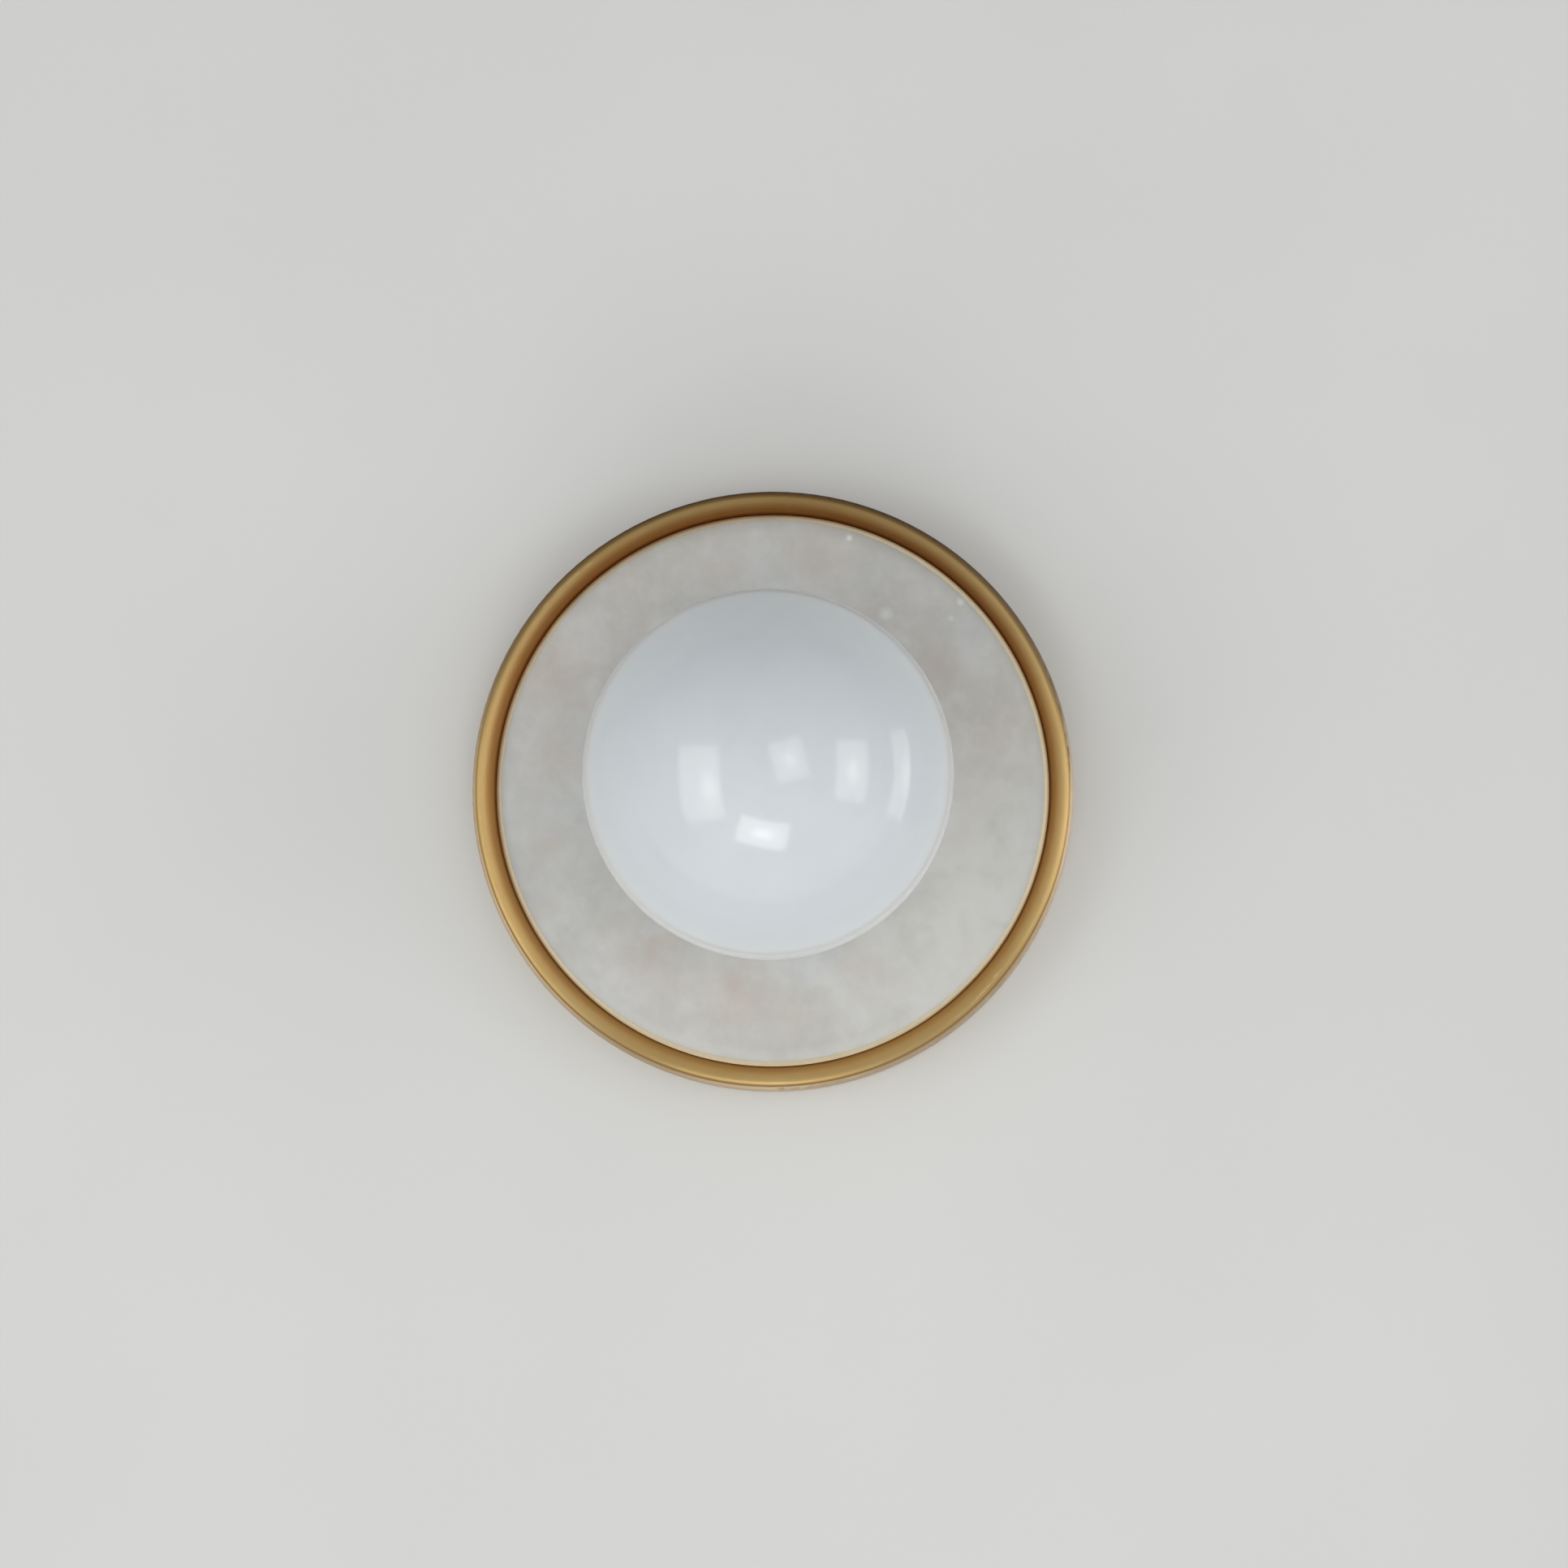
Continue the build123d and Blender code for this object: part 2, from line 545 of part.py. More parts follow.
def make_supply_lead(side, pole):
    """Lead from the lampholder, through the nipple, to one pole of the terminal block."""
    bore_place = side * LEAD_SPACING / 2
    turn = bushing_back - lead_level
    gentle = 3 * LEAD_DIAMETER
    rise = (clamp_axis - lead_level) / 2
    points = [(side * holder_lead, 0, lead_tip), (side * holder_lead, 0, holder_back - LEAD_TIP_GAP),
              (bore_place, 0, nipple_front + LEAD_TIP_GAP), (bore_place, 0, lead_level),
              (pole, block_edge / 2, lead_level), (pole, block_edge - rise, clamp_axis),
              (pole, TERMINAL_CENTRE - lead_radius, clamp_axis)]
    return lead(points, [gentle, gentle, turn, gentle, gentle])


def lug_place():
    """Where the earth lug's barrel axis starts and which way it points."""
    way = Vector(1, 0, 0).rotate(Axis.Z, LUG_ANGLE)
    start = Vector(GROUND_PLACE, 0, boss_top + lug_barrel) + way * LUG_RADIUS
    return start, way


def make_ground_lead():
    """Earth lead from the terminal block's last pole to the lug on the mounting bar."""
    start, way = lug_place()
    inside = start + way * (LUG_BARREL_LENGTH / 4)
    outside = start + way * (LUG_BARREL_LENGTH + 2 * LEAD_DIAMETER)
    below = block_edge - 4 * LEAD_DIAMETER
    points = [(TERMINAL_PITCH, TERMINAL_CENTRE - lead_radius, clamp_axis),
              (TERMINAL_PITCH, below, clamp_axis),
              (TERMINAL_PITCH + below, below, inside.Z), outside, inside]
    return lead(points, [3 * LEAD_DIAMETER] * 3)


def make_ground_lug():
    """Crimped earth lug: a flat ring under the screw and a barrel for the lead."""
    start, way = lug_place()
    plate = disc(LUG_RADIUS, boss_top, lug_front)
    tongue = Pos(LUG_RADIUS / 2) * block(2 * LUG_RADIUS, 2 * lug_barrel, boss_top, lug_front)
    plate = Pos(GROUND_PLACE) * (plate + Rot(0, 0, LUG_ANGLE) * tongue)
    along = Plane(start, z_dir=way)
    barrel = extrude(along * Circle(lug_barrel), LUG_BARREL_LENGTH)
    bore = extrude(along * Circle(lug_bore), LUG_BARREL_LENGTH)
    hole = Pos(GROUND_PLACE) * disc(GROUND_SCREW_DIAMETER / 2 + HOLE_FIT, boss_top, lug_front)
    head_room = GROUND_HEAD_FLATS / math.sqrt(3)
    head = Pos(GROUND_PLACE) * disc(head_room, lug_front, lug_front + GROUND_HEAD_HEIGHT)
    return plate + barrel - bore - hole - head


def make_ground_screw():
    """Hexagon-head earth screw, slotted, in the bar's threaded boss."""
    head = hexagon(GROUND_HEAD_FLATS, lug_front, lug_front + GROUND_HEAD_HEIGHT)
    head -= block(2 * GROUND_HEAD_FLATS, CROSS_RECESS, lug_front + GROUND_HEAD_HEIGHT - CROSS_DEPTH,
                  lug_front + GROUND_HEAD_HEIGHT)
    return Pos(GROUND_PLACE) * (head + disc(GROUND_SCREW_DIAMETER / 2, GROUND_TIP_GAP, lug_front))


def make_terminal_block():
    """Moulded three-pole block with through channels for the clamps and wells for their screws."""
    body = Pos(0, TERMINAL_CENTRE) * block(2 * block_half, TERMINAL_WIDTH, block_back, floor_back)
    body = chamfer(body.edges().filter_by(Axis.Z), TERMINAL_END / 5)
    channel = CLAMP_SIZE + 2 * CLAMP_GAP
    for pole in (-1, 0, 1):
        at_pole = Pos(pole * TERMINAL_PITCH, TERMINAL_CENTRE)
        body -= at_pole * Pos(0, 0, clamp_axis) * Box(channel, TERMINAL_WIDTH, channel)
        for side in (-1, 1):
            well = disc(CLAMP_SCREW_HEAD / 2 + HOLE_FIT, block_back, clamp_axis)
            body -= at_pole * Pos(0, side * CLAMP_SCREW_OFFSET) * well
    hole = disc(BLOCK_SCREW_DIAMETER / 2 + HOLE_FIT, block_back, floor_back)
    return body - Pos(TERMINAL_PITCH / 2, TERMINAL_CENTRE) * hole


def make_terminal_clamps():
    """Three bored brass clamps, each tapped for two screws."""
    clamp = Box(CLAMP_SIZE, CLAMP_LENGTH, CLAMP_SIZE)
    clamp -= Rot(90, 0, 0) * Cylinder(CLAMP_BORE / 2, CLAMP_LENGTH)
    tapped_hole = disc(CLAMP_SCREW_DIAMETER / 2 + SCREW_FIT, -CLAMP_SIZE, 0)
    for side in (-1, 1):
        clamp -= Pos(0, side * CLAMP_SCREW_OFFSET) * tapped_hole
    return Compound([Pos(pole * TERMINAL_PITCH, TERMINAL_CENTRE, clamp_axis) * clamp for pole in (-1, 0, 1)])


def make_terminal_screws():
    """Six clamp screws, reached from the wall side of the block."""
    head_back = block_back + CLAMP_SCREW_SINK
    head_front = clamp_axis - CLAMP_SIZE / 2 - CLAMP_SCREW_SINK
    tip = clamp_axis - lead_radius - CLAMP_TIP_GAP
    screw = cross_screw(CLAMP_SCREW_DIAMETER / 2, CLAMP_SCREW_HEAD / 2, head_front - head_back,
                        tip - head_front)
    rows = [TERMINAL_CENTRE + side * CLAMP_SCREW_OFFSET for side in (-1, 1)]
    return Compound([Pos(pole * TERMINAL_PITCH, row, head_front) * screw for pole in (-1, 0, 1) for row in rows])


def make_terminal_block_screw():
    """Screw that holds the terminal block to the pan's floor."""
    reach = floor_front + BLOCK_SCREW_PROUD - block_back
    screw = cross_screw(BLOCK_SCREW_DIAMETER / 2, BLOCK_SCREW_HEAD / 2, BLOCK_SCREW_HEAD_HEIGHT, reach)
    return Pos(TERMINAL_PITCH / 2, TERMINAL_CENTRE, block_back) * screw


def make_mounting_bar():
    """Bent steel bar with a centre pad, a cable hole, two slots for the box screws and an earth boss."""
    tab_inner = bar_end - BAR_THICKNESS
    bar = block(2 * bar_end, BAR_WIDTH, 0, BAR_THICKNESS) + disc(BAR_PAD_DIAMETER / 2, 0, BAR_THICKNESS)
    bar -= disc(CABLE_HOLE_DIAMETER / 2, 0, BAR_THICKNESS)
    slot = extrude(SlotOverall(BOX_SLOT_LENGTH, BOX_SLOT_WIDTH), BAR_THICKNESS)
    for side in (-1, 1):
        tab = block(BAR_THICKNESS, BAR_WIDTH, 0, bar_tab_top)
        bar += Pos(side * (bar_end + tab_inner) / 2) * tab
        bar -= Pos(side * BOX_SCREW_SPACING / 2) * slot
        bite = Rot(0, side * 90, 0) * disc(SET_SCREW_DOG / 2 + HOLE_FIT, tab_inner, bar_end)
        bar -= Pos(0, 0, side_screw_level) * bite
    foot_edges = bar.edges().filter_by(Axis.Y).filter_by(lambda edge: abs(edge.center().Z) < BAR_BEND / 10)
    bar = fillet(foot_edges.group_by(Axis.X)[0] + foot_edges.group_by(Axis.X)[-1], BAR_BEND)
    bar += Pos(GROUND_PLACE) * disc(GROUND_BOSS_DIAMETER / 2, BAR_THICKNESS, boss_top)
    return bar - Pos(GROUND_PLACE) * disc(GROUND_SCREW_DIAMETER / 2 + SCREW_FIT, 0, boss_top)


def make_weld_nuts():
    """Two hexagon nuts welded inside the pan's wall, left and right."""
    nut = hexagon(WELD_NUT_FLATS, nut_inner, nut_outer)
    nut -= disc(set_screw_radius + SCREW_FIT, nut_inner, nut_outer)
    return Compound([Pos(0, 0, side_screw_level) * Rot(0, side * 90, 0) * nut for side in (-1, 1)])


def make_set_screw(side):
    """Socket set screw whose dog point enters a hole in the bar's tab and stops the pan from lifting off."""
    dog_end = set_screw_tip + SET_SCREW_DOG_LENGTH
    screw = disc(SET_SCREW_DOG / 2, set_screw_tip, dog_end) + disc(set_screw_radius, dog_end, set_screw_outer)
    screw -= hexagon(SET_SCREW_KEY, set_screw_outer - SET_SCREW_KEY_DEPTH, set_screw_outer)
    return Pos(0, 0, side_screw_level) * Rot(0, side * 90, 0) * screw


pieces = {
    "back_pan": make_back_pan(),
    "brass_ring": make_brass_ring(),
    "ring_screws": make_ring_screws(),
    "stone_disc": make_stone_disc(),
    "stone_cushion": make_stone_cushion(),
    "globe_gallery": make_globe_gallery(),
    "globe_seal": make_globe_seal(),
    "opal_globe": make_opal_globe(),
    "hollow_nipple": make_hollow_nipple(),
    "front_locknut": make_locknut(bracket_base_front),
    "rear_locknut": make_locknut(rear_nut_back),
    "rear_lock_washer": make_rear_lock_washer(),
    "nipple_bushing": make_nipple_bushing(),
    "lampholder_bracket": make_lampholder_bracket(),
    "lampholder": make_lampholder(),
    "lampholder_contacts": make_lampholder_contacts(),
    "lampholder_screws": make_lampholder_screws(),
    "lamp_base": make_lamp_base(),
    "lamp_capsule": make_lamp_capsule(),
    "lamp_pins": make_lamp_pins(),
    "lamp_led_board": make_lamp_led_board(),
    "lamp_led_chips": make_lamp_led_chips(),
    "live_lead": make_supply_lead(-1, -TERMINAL_PITCH),
    "neutral_lead": make_supply_lead(1, 0),
    "ground_lead": make_ground_lead(),
    "ground_lug": make_ground_lug(),
    "ground_screw": make_ground_screw(),
    "terminal_block": make_terminal_block(),
    "terminal_clamps": make_terminal_clamps(),
    "terminal_screws": make_terminal_screws(),
    "terminal_block_screw": make_terminal_block_screw(),
    "mounting_bar": make_mounting_bar(),
    "weld_nuts": make_weld_nuts(),
    "left_set_screw": make_set_screw(-1),
    "right_set_screw": make_set_screw(1),
}

# Turn the front from +Z to -Y, so that the part hangs upright on the wall plane
os.makedirs("parts", exist_ok=True)
for name, piece in pieces.items():
    export_step(Rot(90, 0, 0) * piece, f"parts/{name}.step")
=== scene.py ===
import math

import bpy
from mathutils import Matrix, Vector


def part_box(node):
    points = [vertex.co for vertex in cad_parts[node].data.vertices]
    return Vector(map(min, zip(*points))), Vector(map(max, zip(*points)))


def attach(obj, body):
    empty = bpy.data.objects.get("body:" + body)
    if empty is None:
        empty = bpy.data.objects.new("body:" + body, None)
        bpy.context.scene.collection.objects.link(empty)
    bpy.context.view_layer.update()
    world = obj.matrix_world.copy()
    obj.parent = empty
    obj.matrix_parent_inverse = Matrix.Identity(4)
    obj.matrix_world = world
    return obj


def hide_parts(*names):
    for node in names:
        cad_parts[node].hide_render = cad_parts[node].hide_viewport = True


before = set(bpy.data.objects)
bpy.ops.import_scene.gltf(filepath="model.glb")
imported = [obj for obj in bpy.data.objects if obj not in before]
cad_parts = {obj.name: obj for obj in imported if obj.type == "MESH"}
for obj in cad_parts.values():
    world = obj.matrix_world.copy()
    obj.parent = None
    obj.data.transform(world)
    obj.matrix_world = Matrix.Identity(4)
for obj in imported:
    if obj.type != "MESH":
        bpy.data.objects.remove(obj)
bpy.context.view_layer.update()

# Mounting bar and weld nuts: a bent steel strip that is screwed to the outlet box in the wall, and two
# nuts welded inside the pan. Both are cut from sheet and bar, then zinc plated: dull silver with bluish
# clouds.


def tone(red, green, blue):
    """A colour as it looks on a screen, 0 to 255, in the linear values that shaders take."""
    shares = [value / 255 for value in (red, green, blue)]
    return tuple(s / 12.92 if s < 0.04045 else ((s + 0.055) / 1.055) ** 2.4 for s in shares) + (1.0,)


def add(tree, kind, values=None, **settings):
    """A shader node with its settings made, and its inputs set to values or linked to sockets."""
    made = tree.nodes.new("ShaderNode" + kind)
    for name, value in settings.items():
        setattr(made, name, value)
    for name, value in (values or {}).items():
        if isinstance(value, bpy.types.NodeSocket):
            tree.links.new(value, made.inputs[name])
        else:
            made.inputs[name].default_value = value
    return made


def mix_colour(tree, share, first, second):
    """A colour that goes from the first to the second by a share, a value or a socket."""
    share_in, first_in, second_in, colour_out = 0, 6, 7, 2
    values = {share_in: share, first_in: first, second_in: second}
    return add(tree, "Mix", values, data_type="RGBA").outputs[colour_out]


def spread(tree, value, low, high, start=0.0, end=1.0, shape="LINEAR"):
    """A value moved from the range low to high into the range start to end, and held there."""
    ends = {"Value": value, "From Min": low, "From Max": high, "To Min": start, "To Max": end}
    return add(tree, "MapRange", ends, interpolation_type=shape).outputs["Result"]


def combine(tree, operation, first, second):
    """One value from two, by a rule such as ADD, MULTIPLY or MAXIMUM."""
    return add(tree, "Math", {0: first, 1: second}, operation=operation).outputs[0]


def times(tree, first, second):
    """The product of two values."""
    return combine(tree, "MULTIPLY", first, second)


def axes(tree, vector):
    """A vector's X, Y and Z."""
    return add(tree, "SeparateXYZ", {0: vector}).outputs


def noise(tree, place, scale, detail=2.0, roughness=0.5, warp=0.0):
    """Soft noise over a place, with features about one over scale metres apart."""
    values = {"Vector": place, "Scale": scale, "Detail": detail, "Roughness": roughness, "Distortion": warp}
    return add(tree, "TexNoise", values).outputs["Fac"]


def place_on(tree):
    """Where a point lies on its own piece, in metres."""
    return add(tree, "TexCoord").outputs["Object"]


def new_effect(name, takes, gives):
    """A shader node group with named number inputs and outputs, and its two ends."""
    group = bpy.data.node_groups.new(name, "ShaderNodeTree")
    for label, value in takes.items():
        socket = group.interface.new_socket(label, in_out="INPUT", socket_type="NodeSocketFloat")
        socket.default_value = value
    for label in gives:
        group.interface.new_socket(label, in_out="OUTPUT", socket_type="NodeSocketFloat")
    return group, group.nodes.new("NodeGroupInput").outputs, group.nodes.new("NodeGroupOutput").inputs


# The skin effect: slow clouds in the tint, and a fine grain for roughness and relief.
noise_range = (0.3, 0.7)
skin_sizes = {"Clouds": 60.0, "Grain": 1500.0}
skin_effect, takes, gives = new_effect("cloud_and_grain", skin_sizes, ("Cloud", "Grain"))
spot = place_on(skin_effect)
clouds = noise(skin_effect, spot, takes["Clouds"], detail=4.0, roughness=0.55)
grain = noise(skin_effect, spot, takes["Grain"], detail=2.0, roughness=0.6)
skin_effect.links.new(spread(skin_effect, clouds, *noise_range), gives["Cloud"])
skin_effect.links.new(grain, gives["Grain"])

# The edge effect: outer edges are rubbed brighter, in broken stretches.
flat_face = 0.51
patch_range = (0.35, 0.65)
edge_effect, takes, gives = new_effect("rubbed_edges", {"Sharpness": 0.06, "Patches": 300.0}, ("Mask",))
bend = add(edge_effect, "NewGeometry").outputs["Pointiness"]
sharp_edge = combine(edge_effect, "ADD", flat_face, takes["Sharpness"])
patches = spread(edge_effect, noise(edge_effect, place_on(edge_effect), takes["Patches"]), *patch_range)
edges = spread(edge_effect, bend, flat_face, sharp_edge)
edge_effect.links.new(times(edge_effect, edges, patches), gives["Mask"])

# The dust effect: a thin uneven film on faces that look up.
dust_colour = tone(176, 172, 164)
dust_patches = 180.0
dust_range = (0.3, 0.75)
steep_face, level_face = 0.2, 0.95
dust_effect, takes, gives = new_effect("settled_dust", {"Amount": 0.1}, ("Mask",))
upward = axes(dust_effect, add(dust_effect, "NewGeometry").outputs["Normal"])["Z"]
film = spread(dust_effect, noise(dust_effect, place_on(dust_effect), dust_patches, detail=3.0), *dust_range)
film = times(dust_effect, spread(dust_effect, upward, steep_face, level_face), film)
dust_effect.links.new(times(dust_effect, film, takes["Amount"]), gives["Mask"])


def new_material(name):
    """A new material, its node tree and its shader."""
    material = bpy.data.materials.new(name)
    material.use_nodes = True
    return material, material.node_tree, material.node_tree.nodes["Principled BSDF"]


def raise_relief(tree, shader, height, distance, strength=1.0):
    """Bumps up to a distance high, on top of any that the shader has already."""
    bump = add(tree, "Bump", {"Height": height, "Distance": distance, "Strength": strength})
    earlier = [link.from_socket for link in shader.inputs["Normal"].links]
    for normal in earlier:
        tree.links.new(normal, bump.inputs["Normal"])
    tree.links.new(bump.outputs["Normal"], shader.inputs["Normal"])


gloss_range = (0.2, 1.6)


def metal_finish(name, light, dark, worn, roughness, clouds=90.0, grain=1800.0, relief=0.000006, dust=0.06,
                 uneven=0.07):
    """Metal with clouds between two tints, rubbed edges, a fine grain and a film of dust."""
    material, tree, shader = new_material(name)
    skin = add(tree, "Group", {"Clouds": clouds, "Grain": grain}, node_tree=skin_effect).outputs
    edges = add(tree, "Group", node_tree=edge_effect).outputs["Mask"]
    film = add(tree, "Group", {"Amount": dust}, node_tree=dust_effect).outputs["Mask"]
    colour = mix_colour(tree, skin["Cloud"], light, dark)
    colour = mix_colour(tree, edges, colour, worn)
    tree.links.new(mix_colour(tree, film, colour, dust_colour), shader.inputs["Base Color"])
    tree.links.new(spread(tree, film, 0.0, 1.0, start=1.0, end=0.0), shader.inputs["Metallic"])
    gloss = combine(tree, "ADD", skin["Cloud"], skin["Grain"])
    gloss = spread(tree, gloss, *gloss_range, start=roughness - uneven, end=roughness + uneven)
    tree.links.new(gloss, shader.inputs["Roughness"])
    raise_relief(tree, shader, skin["Grain"], relief)
    return material


def dress(material, *names):
    """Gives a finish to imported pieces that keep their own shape."""
    for name in names:
        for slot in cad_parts[name].material_slots:
            slot.material = material


zinc_plate = metal_finish("zinc_plate", light=tone(206, 208, 211), dark=tone(182, 186, 193),
                          worn=tone(222, 222, 220), roughness=0.36)
dress(zinc_plate, "mounting_bar", "weld_nuts")

# Earth screw and lug: a slotted hexagon screw, plated green so that it can't be mistaken, clamps a crimped
# lug of tinned copper on the bar's boss. The green wears off first on the screw's corners.
green_plate = metal_finish("green_plate", light=tone(60, 140, 84), dark=tone(38, 112, 62),
                           worn=tone(190, 196, 180), roughness=0.38)
tinned_copper = metal_finish("tinned_copper", light=tone(214, 212, 206), dark=tone(190, 184, 174),
                             worn=tone(214, 176, 150), roughness=0.28)
dress(green_plate, "ground_screw")
dress(tinned_copper, "ground_lug")

# Terminal block: natural nylon moulded round three brass clamps, each with two nickel-plated screws, and
# held to the pan by one steel screw. The nylon is slightly translucent, ivory, with a fine spark-eroded
# skin.
warm_glow = (1.0, 0.9, 0.8)
glow_depth = 0.002
moulded_uneven = 0.06


def moulded_finish(name, light, dark, roughness, clouds=70.0, grain=2600.0, relief=0.000012, dust=0.08,
                   glow=0.0):
    """Plastic, rubber or ceramic with clouds between two tints, a moulded skin and a film of dust."""
    material, tree, shader = new_material(name)
    shader.inputs["Subsurface Weight"].default_value = glow
    shader.inputs["Subsurface Radius"].default_value = warm_glow
    shader.inputs["Subsurface Scale"].default_value = glow_depth
    skin = add(tree, "Group", {"Clouds": clouds, "Grain": grain}, node_tree=skin_effect).outputs
    film = add(tree, "Group", {"Amount": dust}, node_tree=dust_effect).outputs["Mask"]
    colour = mix_colour(tree, skin["Cloud"], light, dark)
    tree.links.new(mix_colour(tree, film, colour, dust_colour), shader.inputs["Base Color"])
    smooth, rough = roughness - moulded_uneven, roughness + moulded_uneven
    tree.links.new(spread(tree, skin["Grain"], *noise_range, smooth, rough), shader.inputs["Roughness"])
    raise_relief(tree, shader, skin["Grain"], relief)
    return material


natural_nylon = moulded_finish("natural_nylon", light=tone(232, 229, 218), dark=tone(222, 217, 202),
                               roughness=0.42, glow=0.2)
contact_brass = metal_finish("contact_brass", light=tone(226, 200, 134), dark=tone(206, 174, 104),
                             worn=tone(238, 220, 170), roughness=0.24)
nickel_plate = metal_finish("nickel_plate", light=tone(214, 211, 202), dark=tone(188, 182, 168),
                            worn=tone(226, 210, 160), roughness=0.26)
dress(natural_nylon, "terminal_block")
dress(contact_brass, "terminal_clamps", "lampholder_contacts")
dress(nickel_plate, "terminal_screws", "lamp_pins")
dress(zinc_plate, "terminal_block_screw")

# Side screws: two socket set screws through the pan's wall, whose points stand in the bar's tabs and keep
# the pan from lifting off. Black oxide on steel, oiled, rubbed bright at the rims.
black_oxide = metal_finish("black_oxide", light=tone(58, 57, 58), dark=tone(40, 39, 41),
                           worn=tone(120, 118, 114), roughness=0.4)
dress(black_oxide, "left_set_screw", "right_set_screw")

# Back pan: a shallow pan pressed from brass sheet, with a rolled corner, a ledge for the ring and a
# recessed floor for the stone. It has the ring's satin finish under lacquer, with faint marks from
# spinning, and painted shade along its upper front corner.


def radius_from_axis(tree, spot):
    """How far a point lies from the sconce's axis, which runs along Y."""
    flat = add(tree, "VectorMath", {0: spot, 1: (1.0, 0.0, 1.0)}, operation="MULTIPLY").outputs["Vector"]
    return add(tree, "VectorMath", {0: flat}, operation="LENGTH").outputs["Value"]


# The spinning effect: fine rings about the sconce's axis.
spin_effect, takes, gives = new_effect("spinning_marks", {"Rings": 2200.0}, ("Height",))
spot = place_on(spin_effect)
section = {"X": radius_from_axis(spin_effect, spot), "Y": axes(spin_effect, spot)["Y"]}
section = add(spin_effect, "CombineXYZ", section).outputs["Vector"]
marks = noise(spin_effect, section, takes["Rings"], detail=3.0, roughness=0.6)
spin_effect.links.new(marks, gives["Height"])

# Painted shade: a dark brown laid on high faces that look up, and on the pan's upper front corner.
top_shade_colour = tone(74, 50, 30)
top_shade_start, top_shade_full = 0.0, 0.06
top_shade_facing = (0.0, 0.9)


def base_colour(shader):
    """The colour that a shader has so far."""
    return shader.inputs["Base Color"].links[0].from_socket


def satin_brass_finish(name, light, dark, worn, roughness, relief, lacquer, top_shade):
    """Satin brass under lacquer: aged clouds, spinning marks, and painted shade on high faces that look up.
    """
    material = metal_finish(name, light, dark, worn, roughness, clouds=28.0, grain=2400.0, dust=0.02,
                            uneven=0.02)
    tree = material.node_tree
    shader = tree.nodes["Principled BSDF"]
    shader.inputs["Coat Weight"].default_value = lacquer
    shader.inputs["Coat Roughness"].default_value = 0.34
    shader.inputs["Coat IOR"].default_value = 1.5
    shader.inputs["Anisotropic"].default_value = 0.95
    shader.inputs["Anisotropic Rotation"].default_value = 0.25
    tangent = add(tree, "Tangent", direction_type="RADIAL", axis="Y").outputs["Tangent"]
    tree.links.new(tangent, shader.inputs["Tangent"])
    # Painted shade on faces above the middle that look up, as strong as the share given.
    facing = spread(tree, axes(tree, add(tree, "NewGeometry").outputs["Normal"])["Z"], *top_shade_facing)
    high = spread(tree, axes(tree, place_on(tree))["Z"], top_shade_start, top_shade_full, end=top_shade)
    colour = mix_colour(tree, times(tree, facing, high), base_colour(shader), top_shade_colour)
    tree.links.new(colour, shader.inputs["Base Color"])
    marks = add(tree, "Group", node_tree=spin_effect).outputs["Height"]
    raise_relief(tree, shader, marks, relief)
    return material


satin_brass = satin_brass_finish("satin_brass", light=tone(194, 174, 146), dark=tone(186, 165, 136),
                                 worn=tone(198, 179, 152), roughness=0.42, relief=0.000002, lacquer=0.3,
                                 top_shade=0.0)
pan_low, pan_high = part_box("back_pan")
corner_front, corner_back = pan_low.y + 0.0015, pan_low.y + 0.005
corner_level, corner_top = 0.01, 0.9 * pan_high.z
tree = satin_brass.node_tree
shader = tree.nodes["Principled BSDF"]
place = axes(tree, place_on(tree))
# Painted shade: the upper front corner is darkened, most at the very front.
front_corner = spread(tree, place["Y"], corner_front, corner_back, start=0.9, end=0.1)
corner_shade = times(tree, front_corner, spread(tree, place["Z"], corner_level, corner_top))
colour = mix_colour(tree, corner_shade, base_colour(shader), top_shade_colour)
tree.links.new(colour, shader.inputs["Base Color"])
dress(satin_brass, "back_pan")

# Ring screws: four small cross-head screws of steel, zinc plated like the bar. They go through the pan's
# ledge from behind into tapped holes in the ring, and pull its lip down on the stone.
dress(zinc_plate, "ring_screws")

# Stone cushion: a flat ring cut from black closed-cell foam. It lies on the pan's floor and beds the stone,
# so that the ring's lip can press on it without cracking it.
closed_foam = moulded_finish("closed_foam", light=tone(62, 62, 64), dark=tone(44, 44, 46), roughness=0.9,
                             clouds=400.0, grain=1400.0, relief=0.0002)
dress(closed_foam, "stone_cushion")

# Stone disc: alabaster sawn 8 mm thick, drilled for the gallery and honed, held by the ring's lip. Pale grey
# and softly cloudy, with beige and rose stains, a paler patch at the lower right that is partly painted
# light, a rim with painted light at the lower right and painted shade at the top, and a few white crystal
# pits near its upper right edge.
stone_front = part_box("stone_disc")[0].y
rim_start, rim_full = 0.109, 0.1145
pale_lit_patch = (0.095, stone_front, -0.055)
pale_lit_near, pale_lit_far = 0.02, 0.085
lit_rim_way = (0.5, 0.0, -0.87)
lit_rim_start, lit_rim_full = -0.05, 0.08
rim_shade_start, rim_shade_full = 0.05, 0.115
stain_colour = tone(189, 175, 164)
pit_relief = 0.0002

# Each stain is across, up and reach, and each pit is across, up, reach and depth.
stains = ((-0.086, 0.046, 0.026), (-0.092, 0.010, 0.020), (-0.023, 0.091, 0.018), (0.022, 0.099, 0.020),
          (0.071, 0.052, 0.016), (-0.094, -0.024, 0.014), (-0.053, -0.070, 0.026), (-0.015, -0.083, 0.020),
          (0.000, -0.096, 0.018), (0.040, -0.080, 0.016))
crystal_pits = ((0.0325, 0.1068, 0.0018, 0.8), (0.048, 0.0745, 0.0036, 0.5), (0.0795, 0.0795, 0.0022, 0.6),
                (0.0755, 0.0725, 0.0018, 0.4))


